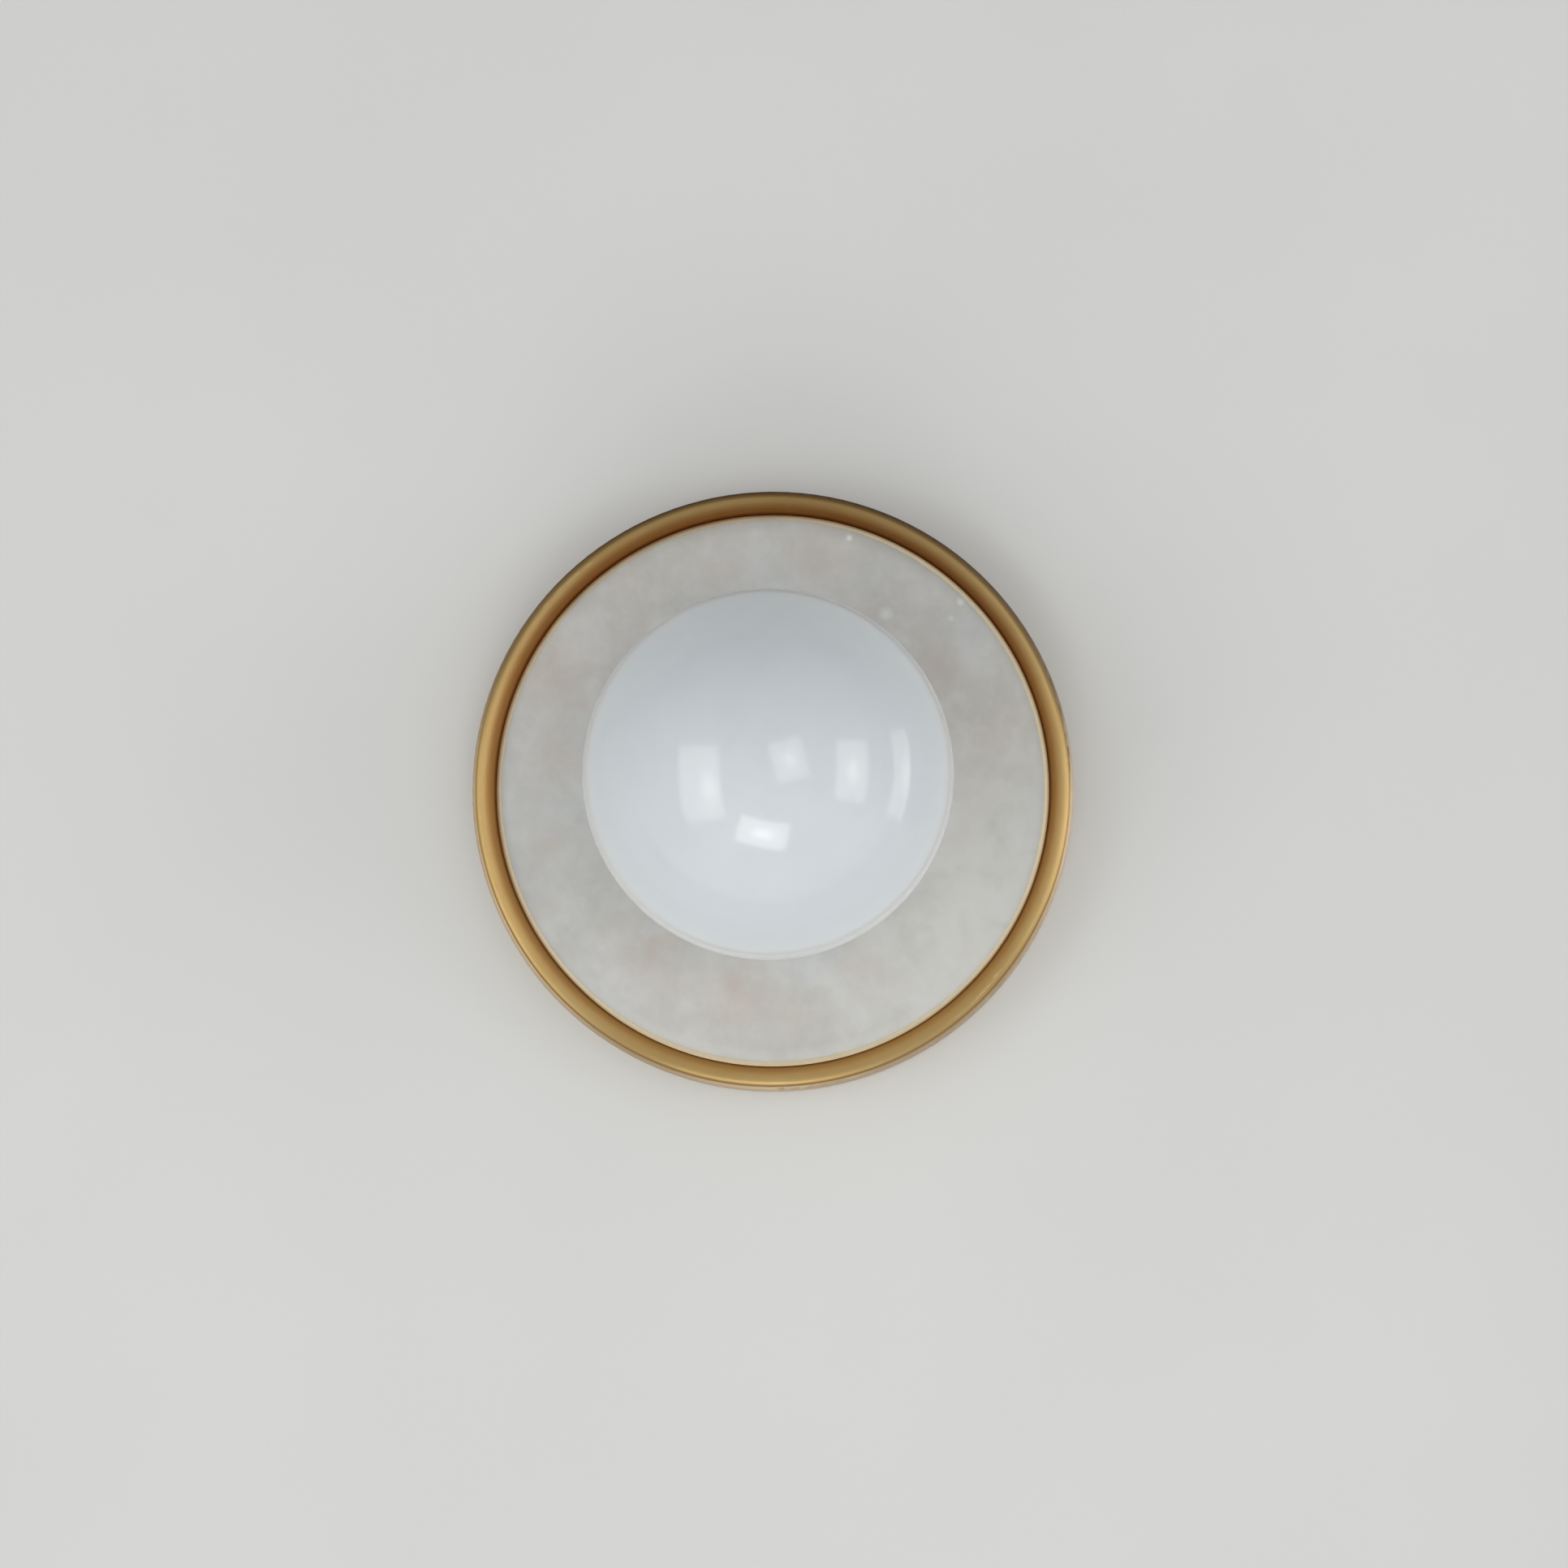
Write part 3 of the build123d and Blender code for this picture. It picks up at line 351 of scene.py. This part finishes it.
def distance_to(tree, spot, point):
    """How far a place lies from a point."""
    return add(tree, "VectorMath", {0: spot, 1: point}, operation="DISTANCE").outputs["Value"]


def along(tree, spot, way):
    """How far a place lies from the origin along a direction."""
    return add(tree, "VectorMath", {0: spot, 1: way}, operation="DOT_PRODUCT").outputs["Value"]


alabaster, tree, shader = new_material("alabaster")
shader.inputs["Subsurface Weight"].default_value = 0.25
shader.inputs["Subsurface Radius"].default_value = (1.0, 0.95, 0.9)
shader.inputs["Subsurface Scale"].default_value = 0.004
shader.inputs["IOR"].default_value = 1.52
spot = place_on(tree)
drift = spread(tree, noise(tree, spot, scale=16.0, warp=0.4), *patch_range)
colour = mix_colour(tree, drift, tone(193, 195, 193), tone(191, 187, 180))
# A paler patch at the lower right, partly the stone's own tone and partly painted light.
pale_and_lit = spread(tree, distance_to(tree, spot, pale_lit_patch), pale_lit_near, pale_lit_far, start=0.6, end=0.0)
colour = mix_colour(tree, pale_and_lit, colour, tone(212, 212, 206))
rim = spread(tree, radius_from_axis(tree, spot), rim_start, rim_full)
# Painted light: the rim is made paler towards the lower right.
lit_rim = times(tree, rim, spread(tree, along(tree, spot, lit_rim_way), lit_rim_start, lit_rim_full, end=0.5))
colour = mix_colour(tree, lit_rim, colour, tone(226, 226, 221))
clouds = noise(tree, spot, scale=60.0, detail=4.0, warp=0.3)
colour = mix_colour(tree, spread(tree, clouds, 0.5, 0.74, end=0.6), colour, tone(207, 208, 206))
colour = mix_colour(tree, spread(tree, clouds, 0.5, 0.26, end=0.4), colour, tone(176, 175, 169))
mottle = noise(tree, spot, scale=170.0, detail=3.0, roughness=0.6)
colour = mix_colour(tree, spread(tree, mottle, 0.45, 0.8, end=0.3), colour, tone(212, 212, 210))
ragged = spread(tree, noise(tree, spot, scale=75.0, detail=4.0, roughness=0.6, warp=0.5), *noise_range)
for across, up, reach in stains:
    away = distance_to(tree, spot, (across, stone_front, up))
    stain = times(tree, spread(tree, away, 0.0, reach, start=0.75, end=0.0), ragged)
    colour = mix_colour(tree, stain, colour, stain_colour)
# Painted shade: the rim is darkened under the ring's top.
rim_shade = times(tree, rim, spread(tree, axes(tree, spot)["Z"], rim_shade_start, rim_shade_full, end=0.35))
colour = mix_colour(tree, rim_shade, colour, tone(150, 146, 132))
pits = 0.0
for across, up, reach, depth in crystal_pits:
    away = distance_to(tree, spot, (across, stone_front, up))
    pits = combine(tree, "MAXIMUM", pits, spread(tree, away, 0.0, reach, start=depth, end=0.0))
colour = mix_colour(tree, pits, colour, tone(236, 237, 235))
tree.links.new(colour, shader.inputs["Base Color"])
honed = noise(tree, spot, scale=900.0, detail=3.0, roughness=0.6)
tree.links.new(spread(tree, honed, *noise_range, start=0.34, end=0.5), shader.inputs["Roughness"])
relief = combine(tree, "SUBTRACT", times(tree, honed, 0.06), pits)
raise_relief(tree, shader, relief, pit_relief, strength=0.6)
dress(alabaster, "stone_disc")

# Brass ring: turned from one blank, broadly rounded towards the stone and tightly towards the pan, with a
# thin bevelled lip that laps over the stone. It is screwed on from behind, brushed to a satin finish and
# lacquered. The lip is polished, with painted shade at its upper left.
ring_low, ring_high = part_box("brass_ring")
ring_outer = ring_high.x
ring_width = 0.0086
outer_round = 0.0021
inner_round = ring_width - outer_round
ring_back = -ring_high.y
ring_crest = -ring_low.y
ring_inner = ring_outer - ring_width
lip_width = 0.002
lip_inner = ring_inner - lip_width
lip_thickness = 0.001
lip_rise = 0.00085
corner = 0.0002
ring_steps = 360
inner_steps = 32
outer_steps = 16
sharp_bend = math.radians(40)


def arc(centre, radius, first, last, steps):
    """Points on an arc in a turned outline, by angles in degrees."""
    turns = [math.radians(first + (last - first) * step / steps) for step in range(steps + 1)]
    return [(centre[0] + radius * math.cos(turn), centre[1] + radius * math.sin(turn)) for turn in turns]


def turn_mesh(name, outline, steps, closed, swell=None):
    """A piece turned about the sconce's axis from points of (radius, distance from the wall)."""
    on_axis = 1e-9
    corners, faces, rings = [], [], []
    for radius, out in outline:
        if radius < on_axis:
            rings.append([len(corners)] * steps)
            corners.append((0.0, -out, 0.0))
            continue
        rings.append(list(range(len(corners), len(corners) + steps)))
        for step in range(steps):
            turn = 2 * math.pi * step / steps
            reach = swell(radius, out, turn) if swell else radius
            corners.append((reach * math.cos(turn), -out, reach * math.sin(turn)))
    following = rings[1:] + rings[:1] if closed else rings[1:]
    for near, far in zip(rings, following):
        for step in range(steps):
            ahead = (step + 1) % steps
            face = (near[step], near[ahead], far[ahead], far[step])
            faces.append(tuple(dict.fromkeys(face)))
    mesh = bpy.data.meshes.new(name)
    mesh.from_pydata(corners, [], faces)
    mesh.polygons.foreach_set("use_smooth", [True] * len(faces))
    mesh.set_sharp_from_angle(angle=sharp_bend)
    mesh.update()
    piece = bpy.data.objects.new(name, mesh)
    bpy.context.scene.collection.objects.link(piece)
    return piece


outline = [(ring_outer, ring_back + corner), (ring_outer - corner, ring_back)]
outline += [(lip_inner + corner, ring_back), (lip_inner, ring_back + corner)]
outline += [(ring_inner, ring_back + lip_rise)]
outline += arc((ring_inner + inner_round, ring_back + lip_thickness), inner_round, 180, 90, inner_steps)
outline += arc((ring_inner + inner_round, ring_crest - outer_round), outer_round, 90, 0, outer_steps)[1:]
brass_ring = turn_mesh("turned_brass_ring", outline, ring_steps, closed=True)

# The ring's finish: an orange patina on its inner side, painted darker towards the top as shade; painted
# shade in the crease at the lip, on the top and in a brown line at the pan below; and a pale painted
# reflection of the wall on the outer edge.
patina_width = 0.65 * ring_width
patina_shade_low, patina_shade_high = -0.1, 0.08
crease_shade_colour = tone(60, 26, 8)
crease_shade_width = 0.0012
broad_shade_width = 0.0036
upper_left_way = (-0.8, 0.0, 0.6)
left_start, left_full = 0.02, 0.09
top_start, top_full = 0.03, 0.125
top_left_full = 0.12
seam_shade_start, seam_shade_full = ring_outer - 0.0010, ring_outer - 0.0005
seam_shade_low, seam_shade_high = -0.06, -0.02
reflection_back, reflection_front = ring_crest - 0.0021, ring_crest - 0.0014
reflection_start, reflection_full = ring_outer - 0.0003, ring_outer - 0.0001
brushed_brass = satin_brass_finish("brushed_brass", light=tone(191, 163, 110), dark=tone(183, 152, 98),
                                   worn=tone(199, 173, 122), roughness=0.33, relief=0.000002, lacquer=0.06,
                                   top_shade=0.7)
tree = brushed_brass.node_tree
shader = tree.nodes["Principled BSDF"]
shader.inputs["Specular Tint"].default_value = tone(212, 162, 100)
spot = place_on(tree)
radius = radius_from_axis(tree, spot)
upper_left = along(tree, spot, upper_left_way)
sides = axes(tree, spot)
out = times(tree, sides["Y"], -1.0)
# An orange patina on the inner side, painted paler at the bottom and darker at the top as shade.
patina = spread(tree, radius, ring_inner, ring_inner + patina_width, start=0.9, end=0.0)
shaded_patina = spread(tree, sides["Z"], patina_shade_low, patina_shade_high)
shaded_patina = mix_colour(tree, shaded_patina, tone(238, 176, 102), tone(206, 122, 48))
colour = mix_colour(tree, patina, base_colour(shader), shaded_patina)
# Painted shade in the crease at the ring's foot: dark in a narrow band, softer in a broad one that fades at
# the upper left.
crease_shade = spread(tree, radius, ring_inner, ring_inner + crease_shade_width, start=0.9, end=0.0)
colour = mix_colour(tree, crease_shade, colour, crease_shade_colour)
broad_crease_shade = times(tree, spread(tree, radius, ring_inner, ring_inner + broad_shade_width, start=0.34, end=0.0),
              spread(tree, upper_left, left_start, left_full, start=1.0, end=0.0))
colour = mix_colour(tree, broad_crease_shade, colour, crease_shade_colour)
# Painted shade: the ring's top is darkened, less so at the upper left.
ring_top_shade = times(tree, spread(tree, sides["Z"], top_start, top_full, end=0.33),
            spread(tree, upper_left, left_start, top_left_full, start=1.0, end=0.45))
colour = mix_colour(tree, ring_top_shade, colour, tone(88, 48, 16))
# Painted shade: a brown line just inside the outer edge, on the lower half only.
low_seam_shade = times(tree, spread(tree, radius, seam_shade_start, seam_shade_full),
             spread(tree, sides["Z"], seam_shade_low, seam_shade_high, start=0.35, end=0.0))
colour = mix_colour(tree, low_seam_shade, colour, tone(104, 74, 46))
# Painted reflection: the outer wall of the ring is painted pale, the way the wall shows in it.
wall_reflection = times(tree, spread(tree, out, reflection_back, reflection_front, start=0.8, end=0.0),
             spread(tree, radius, reflection_start, reflection_full))
colour = mix_colour(tree, wall_reflection, colour, tone(194, 175, 149))
tree.links.new(colour, shader.inputs["Base Color"])
brass_ring.data.materials.append(brushed_brass)

# The lip's finish: polished; painted shade at the upper left and in the crease at the ring's foot except the
# bottom.
lip_crease_start, lip_crease_full = ring_inner - 0.0010, ring_inner - 0.0001
lip_crease_low, lip_crease_high = -0.112, -0.085
polished_lip = metal_finish("polished_lip", light=tone(252, 231, 196), dark=tone(248, 225, 186),
                            worn=tone(253, 236, 206), roughness=0.2, dust=0.0)
tree = polished_lip.node_tree
shader = tree.nodes["Principled BSDF"]
shader.inputs["Specular Tint"].default_value = tone(236, 206, 160)
spot = place_on(tree)
radius = radius_from_axis(tree, spot)
# Painted shade: the lip is darkened towards the upper left.
lip_upper_left_shade = times(tree, spread(tree, along(tree, spot, upper_left_way), left_start, left_full),
               spread(tree, radius, lip_inner, ring_inner, start=0.2, end=0.95))
colour = mix_colour(tree, lip_upper_left_shade, base_colour(shader), tone(158, 122, 92))
# Painted shade in the crease at the ring's foot, not at the bottom.
lip_crease_shade = times(tree, spread(tree, radius, lip_crease_start, lip_crease_full, end=0.75),
             spread(tree, axes(tree, spot)["Z"], lip_crease_low, lip_crease_high))
colour = mix_colour(tree, lip_crease_shade, colour, tone(132, 80, 30))
tree.links.new(colour, shader.inputs["Base Color"])
brass_ring.data.materials.append(polished_lip)
for face in brass_ring.data.polygons:
    face.material_index = int(math.hypot(face.center.x, face.center.z) < ring_inner - corner)
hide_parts("brass_ring")
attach(brass_ring, "base")

# Globe gallery: a turned brass cup, threaded inside for the globe's neck, with a brim that hides the stone's
# hole. The nipple's nut clamps it to the pan. Its brass is brighter than the ring's, with turning marks.
# The gallery's high faces that look up get a little painted shade.
turned_brass = satin_brass_finish("turned_brass", light=tone(206, 166, 100), dark=tone(190, 146, 82),
                                  worn=tone(222, 188, 124), roughness=0.28, relief=0.000006, lacquer=0.3,
                                  top_shade=0.2)
dress(turned_brass, "globe_gallery")

# Nipple and nuts: a threaded steel tube clamps bracket, gallery and pan between two thin nuts and a toothed
# washer, all zinc plated. A black nylon bushing in its rear end guards the leads.
black_nylon = moulded_finish("black_nylon", light=tone(44, 44, 46), dark=tone(34, 34, 36), roughness=0.4)
dress(zinc_plate, "hollow_nipple", "front_locknut", "rear_locknut", "rear_lock_washer")
dress(black_nylon, "nipple_bushing")

# Lampholder: pressed and glazed ceramic with two pin slots. Its two ears are screwed to a hat-shaped strip of
# zinc-plated steel, which the nipple's front nut clamps.
glazed_ceramic = moulded_finish("glazed_ceramic", light=tone(236, 234, 227), dark=tone(226, 223, 213),
                                roughness=0.16, grain=600.0, relief=0.00002)
dress(glazed_ceramic, "lampholder")
dress(zinc_plate, "lampholder_bracket", "lampholder_screws")

# Inner leads: stranded copper in a smooth extruded silicone cover, black for live, white for neutral and
# green for earth. They are clamped in the terminal block and run to the lampholder and the lug.
live_cover = moulded_finish("live_cover", light=tone(46, 46, 47), dark=tone(36, 36, 37), roughness=0.42)
neutral_cover = moulded_finish("neutral_cover", light=tone(230, 230, 227), dark=tone(216, 216, 212),
                               roughness=0.42, glow=0.15)
ground_cover = moulded_finish("ground_cover", light=tone(74, 150, 84), dark=tone(56, 128, 66), roughness=0.42)
dress(live_cover, "live_lead")
dress(neutral_cover, "neutral_lead")
dress(ground_cover, "ground_lead")

# Lamp: a matt ceramic base on two wire loops, a frosted capsule, and inside it a white board with rows of
# light-emitting chips under yellow phosphor. It is pushed into the lampholder.
matt_ceramic = moulded_finish("matt_ceramic", light=tone(238, 238, 235), dark=tone(228, 228, 224),
                              roughness=0.6)
frosted_cover = moulded_finish("frosted_cover", light=tone(242, 242, 239), dark=tone(234, 234, 230),
                               roughness=0.48, glow=0.4)
board_mask = moulded_finish("board_mask", light=tone(232, 235, 231), dark=tone(224, 228, 224), roughness=0.34)
phosphor = moulded_finish("phosphor", light=tone(238, 208, 110), dark=tone(228, 190, 84), roughness=0.5,
                          clouds=900.0)
dress(matt_ceramic, "lamp_base")
dress(frosted_cover, "lamp_capsule")
dress(board_mask, "lamp_led_board")
dress(phosphor, "lamp_led_chips")

# Globe seal: a flat washer punched from milky silicone. It lies between the gallery's rim and the globe's
# shoulder, and keeps steam and insects out of the globe.
milky_silicone = moulded_finish("milky_silicone", light=tone(230, 230, 226), dark=tone(216, 216, 211),
                                roughness=0.46, glow=0.4)
dress(milky_silicone, "globe_seal")

# Opal globe: blown white glass with an even wall, fire-polished to a high gloss, and a neck with a round
# moulded thread that screws into the gallery. Bluish white, with painted light that whitens its back half
# and its edge as seen from the front, most of all low down, and the slightest clouds in the melt.
globe_low, globe_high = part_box("opal_globe")
globe_radius = globe_high.x
globe_centre = -globe_low.y - globe_radius
glass_wall = 0.003
ear_span = 0.017
ear_half_width = 0.006
neck_clearance = 0.004
neck_end = -globe_high.y
neck_inner = math.hypot(ear_span, ear_half_width) + neck_clearance
neck_radius = neck_inner + glass_wall
neck_fillet = 0.004
neck_lip = glass_wall / 2
neck_top = neck_end + neck_lip
thread_round = 0.0015
thread_sink = 0.0002
thread_core = neck_radius - thread_sink
thread_pitch = 0.005
thread_end_gap = 0.0007
thread_start = neck_end + thread_end_gap + thread_round
fillet_radius = neck_radius + neck_fillet
globe_shoulder = globe_centre - math.sqrt((globe_radius + neck_fillet) ** 2 - fillet_radius**2)
swing = math.degrees(math.atan2(globe_shoulder - globe_centre, fillet_radius))
globe_steps = 288
outside_steps = 120
inside_steps = 48
fillet_steps = 10
lip_steps = 12
neck_rows = 56


def thread_swell(radius, out, turn):
    """The neck's outer radius where the round thread stands on it, for one right-hand turn from the top."""
    hair = 1e-6
    if radius < neck_radius - hair or out > globe_shoulder:
        return radius
    around = (turn - math.pi / 2) % (2 * math.pi) / (2 * math.pi)
    reach = radius
    for part in (around - 1, around, around + 1):
        held = min(max(part, 0.0), 1.0)
        past = abs(part - held) * 2 * math.pi * thread_core
        level = out - thread_start - thread_pitch * held
        rise = thread_round**2 - level**2 - past**2
        if rise > 0:
            reach = max(reach, thread_core + math.sqrt(rise))
    return reach


outline = arc((0.0, globe_centre), globe_radius, 90, swing, outside_steps)
outline += arc((fillet_radius, globe_shoulder), neck_fillet, 180 + swing, 180, fillet_steps)
for row in range(1, neck_rows):
    outline.append((neck_radius, globe_shoulder + (neck_top - globe_shoulder) * row / neck_rows))
outline += arc((neck_inner + neck_lip, neck_top), neck_lip, 0, -180, lip_steps)
outline += arc((fillet_radius, globe_shoulder), neck_fillet + glass_wall, 180, 180 + swing, fillet_steps)
outline += arc((0.0, globe_centre), globe_radius - glass_wall, swing, 90, inside_steps)[1:]
opal_globe = turn_mesh("blown_opal_globe", outline, globe_steps, closed=False, swell=thread_swell)

globe_edge_light_back, globe_edge_light_front = globe_centre - 0.012, globe_centre + 0.038
globe_edge_light_low, globe_edge_light_high = -0.02, 0.07
opal_glass, tree, shader = new_material("opal_glass")
shader.inputs["IOR"].default_value = 1.5
shader.inputs["Specular IOR Level"].default_value = 0.8
shader.inputs["Subsurface Weight"].default_value = 0.6
shader.inputs["Subsurface Radius"].default_value = (1.0, 1.0, 1.1)
shader.inputs["Subsurface Scale"].default_value = 0.006
spot = place_on(tree)
melt = spread(tree, noise(tree, spot, scale=30.0, detail=3.0, warp=0.8), *noise_range)
colour = mix_colour(tree, melt, tone(205, 212, 216), tone(209, 215, 219))
sides = axes(tree, spot)
out = times(tree, sides["Y"], -1.0)
# Painted light: the back half and the edge seen from the front are whitened, most at and below the middle.
globe_edge_light = times(tree, spread(tree, out, globe_edge_light_back, globe_edge_light_front, start=0.85, end=0.0, shape="SMOOTHSTEP"),
              spread(tree, sides["Z"], globe_edge_light_low, globe_edge_light_high, start=1.0, end=0.6))
colour = mix_colour(tree, globe_edge_light, colour, tone(240, 246, 250))
film = add(tree, "Group", {"Amount": 0.05}, node_tree=dust_effect).outputs["Mask"]
tree.links.new(mix_colour(tree, film, colour, dust_colour), shader.inputs["Base Color"])
smears = noise(tree, spot, scale=55.0, detail=4.0, roughness=0.6, warp=0.8)
slant = add(tree, "LayerWeight", {"Blend": 0.5}).outputs["Facing"]
haze = combine(tree, "ADD", spread(tree, smears, 0.35, 0.75, start=0.07, end=0.1),
               spread(tree, slant, 0.45, 0.8, end=0.12))
tree.links.new(haze, shader.inputs["Roughness"])
opal_globe.data.materials.append(opal_glass)
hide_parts("opal_globe")
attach(opal_globe, "globe")

# Wall: the painted plaster that the sconce is fixed to, rolled in pale grey, open behind the pan where the
# outlet box is. From behind it lets the view through to the back of the pan.
wall_rings = (0.1255, 0.2, 0.6, 2.0, 7.0)
wall_gap = 0.0003
wall_steps = 128
rolled_relief = 0.0003
corners, faces = [], []
for radius in wall_rings:
    for step in range(wall_steps):
        turn = 2 * math.pi * step / wall_steps
        corners.append((radius * math.cos(turn), wall_gap, radius * math.sin(turn)))
for band in range(len(wall_rings) - 1):
    for step in range(wall_steps):
        ahead = (step + 1) % wall_steps
        near, far = band * wall_steps, (band + 1) * wall_steps
        faces.append((near + step, far + step, far + ahead, near + ahead))
wall_mesh = bpy.data.meshes.new("wall")
wall_mesh.from_pydata(corners, [], faces)
wall = bpy.data.objects.new("wall", wall_mesh)
bpy.context.scene.collection.objects.link(wall)
paint, tree, shader = new_material("wall_paint")
spot = place_on(tree)
drift = spread(tree, noise(tree, spot, scale=5.0, detail=3.0), *noise_range)
tree.links.new(mix_colour(tree, drift, tone(215, 215, 213), tone(212, 213, 211)), shader.inputs["Base Color"])
shader.inputs["Roughness"].default_value = 0.85
shader.inputs["Specular IOR Level"].default_value = 0.2
rolled = noise(tree, spot, scale=420.0, detail=3.0, roughness=0.6)
raise_relief(tree, shader, rolled, rolled_relief, strength=0.25)
behind = add(tree, "NewGeometry").outputs["Backfacing"]
clear = add(tree, "BsdfTransparent").outputs["BSDF"]
seen = add(tree, "MixShader", {0: behind, 1: shader.outputs["BSDF"], 2: clear})
tree.links.new(seen.outputs["Shader"], tree.nodes["Material Output"].inputs["Surface"])
wall_mesh.materials.append(paint)

# Camera: a little below the sconce's axis and to its right, about 1.9 m away, with a short telephoto lens.
# It aims at the middle of the pan, and the shift puts that on its pixel of the photograph.
frame_pixels = 1932
pan_pixel_across, pan_pixel_down = 952.6, 975.65
focal_pixels = 5470.0
sensor_width = 36.0
aim = Vector((0.0, -0.012, 0.0))
camera_away = 1.885
camera_below = math.radians(4.49)
camera_right = math.radians(1.25)
level = math.cos(camera_below)
toward = Vector((math.sin(camera_right) * level, -math.cos(camera_right) * level, -math.sin(camera_below)))
lens = bpy.data.cameras.new("camera")
lens.sensor_width = sensor_width
lens.lens = sensor_width * focal_pixels / frame_pixels
lens.shift_x = (frame_pixels / 2 - pan_pixel_across) / frame_pixels
lens.shift_y = (pan_pixel_down - frame_pixels / 2) / frame_pixels
camera = bpy.data.objects.new("camera", lens)
camera.location = aim + camera_away * toward
camera.rotation_euler = (-toward).to_track_quat("-Z", "Y").to_euler()
bpy.context.scene.collection.objects.link(camera)
bpy.context.scene.camera = camera

# Panels: five soft rectangular lights stand before the sconce and to its right. They face the globe, where
# they show as soft patches. Each fades at its edges and has a brighter core.
across = camera.rotation_euler.to_matrix() @ Vector((1.0, 0.0, 0.0))
upward = camera.rotation_euler.to_matrix() @ Vector((0.0, 1.0, 0.0))
globe_middle = Vector((0.0, -globe_centre, 0.0))
panel_tint = (1.0, 0.998, 0.99)
panel_centre = (0.5, 0.5, 0.0)
fade_start, fade_end = 0.36, 0.5
body_reach, core_reach = 0.6, 0.28
core_gain = 0.85


def soft_panel(name, place, away, width, height, strength, roll=0.0, core=(0.0, 0.0)):
    """A rectangular panel that faces the globe, by its direction to the right, up and towards the camera."""
    lamp = bpy.data.lights.new(name, "AREA")
    lamp.shape = "RECTANGLE"
    lamp.size = width
    lamp.size_y = height
    lamp.energy = strength * math.pi * width * height
    lamp.color = panel_tint
    lamp.use_nodes = True
    tree = lamp.node_tree
    spot = add(tree, "NewGeometry").outputs["Parametric"]
    spot = add(tree, "VectorMath", {0: spot, 1: panel_centre}, operation="SUBTRACT").outputs["Vector"]
    glow = 1.0
    for side in ("X", "Y"):
        off = add(tree, "Math", {0: axes(tree, spot)[side]}, operation="ABSOLUTE").outputs[0]
        fall = spread(tree, off, fade_start, fade_end, start=1.0, end=0.0, shape="SMOOTHSTEP")
        glow = times(tree, glow, fall)
    far = distance_to(tree, spot, (*core, 0.0))
    body = spread(tree, far, 0.0, body_reach, start=0.95, end=0.75)
    bright = spread(tree, far, 0.0, core_reach, start=core_gain, end=0.0, shape="SMOOTHSTEP")
    hot = combine(tree, "ADD", body, bright)
    tree.links.new(times(tree, glow, hot), tree.nodes["Emission"].inputs["Strength"])
    panel = bpy.data.objects.new(name, lamp)
    way = (place[0] * across + place[1] * upward + place[2] * toward).normalized()
    panel.location = globe_middle + away * way
    turn = (-way).to_track_quat("-Z", "Y").to_matrix() @ Matrix.Rotation(math.radians(roll), 3, "Z")
    panel.rotation_euler = turn.to_euler()
    panel.visible_camera = False
    bpy.context.scene.collection.objects.link(panel)
    return panel


soft_panel("panel_left", place=(-0.670, -0.0934, 0.7365), away=2.2, width=1.20, height=1.97, strength=1.74,
           core=(0.2, -0.05))
soft_panel("panel_middle", place=(0.220, 0.1425, 0.965), away=2.6, width=1.09, height=1.31, strength=1.5,
           roll=15.0)
soft_panel("panel_right", place=(0.793, 0.0274, 0.608), away=2.2, width=0.96, height=1.50, strength=1.62)
panel_side = soft_panel("panel_side", place=(0.9995, -0.009, -0.01), away=0.95, width=0.385, height=0.77,
                        strength=1.34)
soft_panel("panel_low", place=(-0.0538, -0.5918, 0.8043), away=1.4, width=0.835, height=0.49, strength=2.65,
           roll=-14.0)

# The side panel stands so close to the wall that it is screened off from it.
screened = bpy.data.collections.new("screened_from_side_panel")
screened.objects.link(wall)
screened.collection_objects[0].light_linking.link_state = "EXCLUDE"
panel_side.light_linking.receiver_collection = screened

# Rear lamp: a dim square light behind the wall. It shows the back of the pan, the bar and the leads through
# the wall's hole, and lights nothing that is seen from the front.
rear = bpy.data.lights.new("rear_fill", "AREA")
rear.shape = "SQUARE"
rear.size = 1.6
rear.energy = 9.0
rear_fill = bpy.data.objects.new("rear_fill", rear)
rear_fill.location = (-0.5, 1.5, 0.5)
rear_fill.rotation_euler = (globe_middle - rear_fill.location).to_track_quat("-Z", "Y").to_euler()
rear_fill.visible_camera = False
bpy.context.scene.collection.objects.link(rear_fill)

# Room: the rest of the room adds a soft glow from all round, brightest towards the floor and falling off
# towards the ceiling.
low_glow, high_glow = (0.80, 0.80, 0.80, 1.0), (0.37, 0.375, 0.38, 1.0)
glow_start, glow_end = -0.4, 0.9
room = bpy.data.worlds.new("room")
bpy.context.scene.world = room
room.use_nodes = True
tree = room.node_tree
height = axes(tree, add(tree, "TexCoord").outputs["Generated"])["Z"]
colour = mix_colour(tree, spread(tree, height, glow_start, glow_end), low_glow, high_glow)
tree.links.new(colour, tree.nodes["Background"].inputs["Color"])

bpy.context.scene.view_settings.view_transform = "Standard"
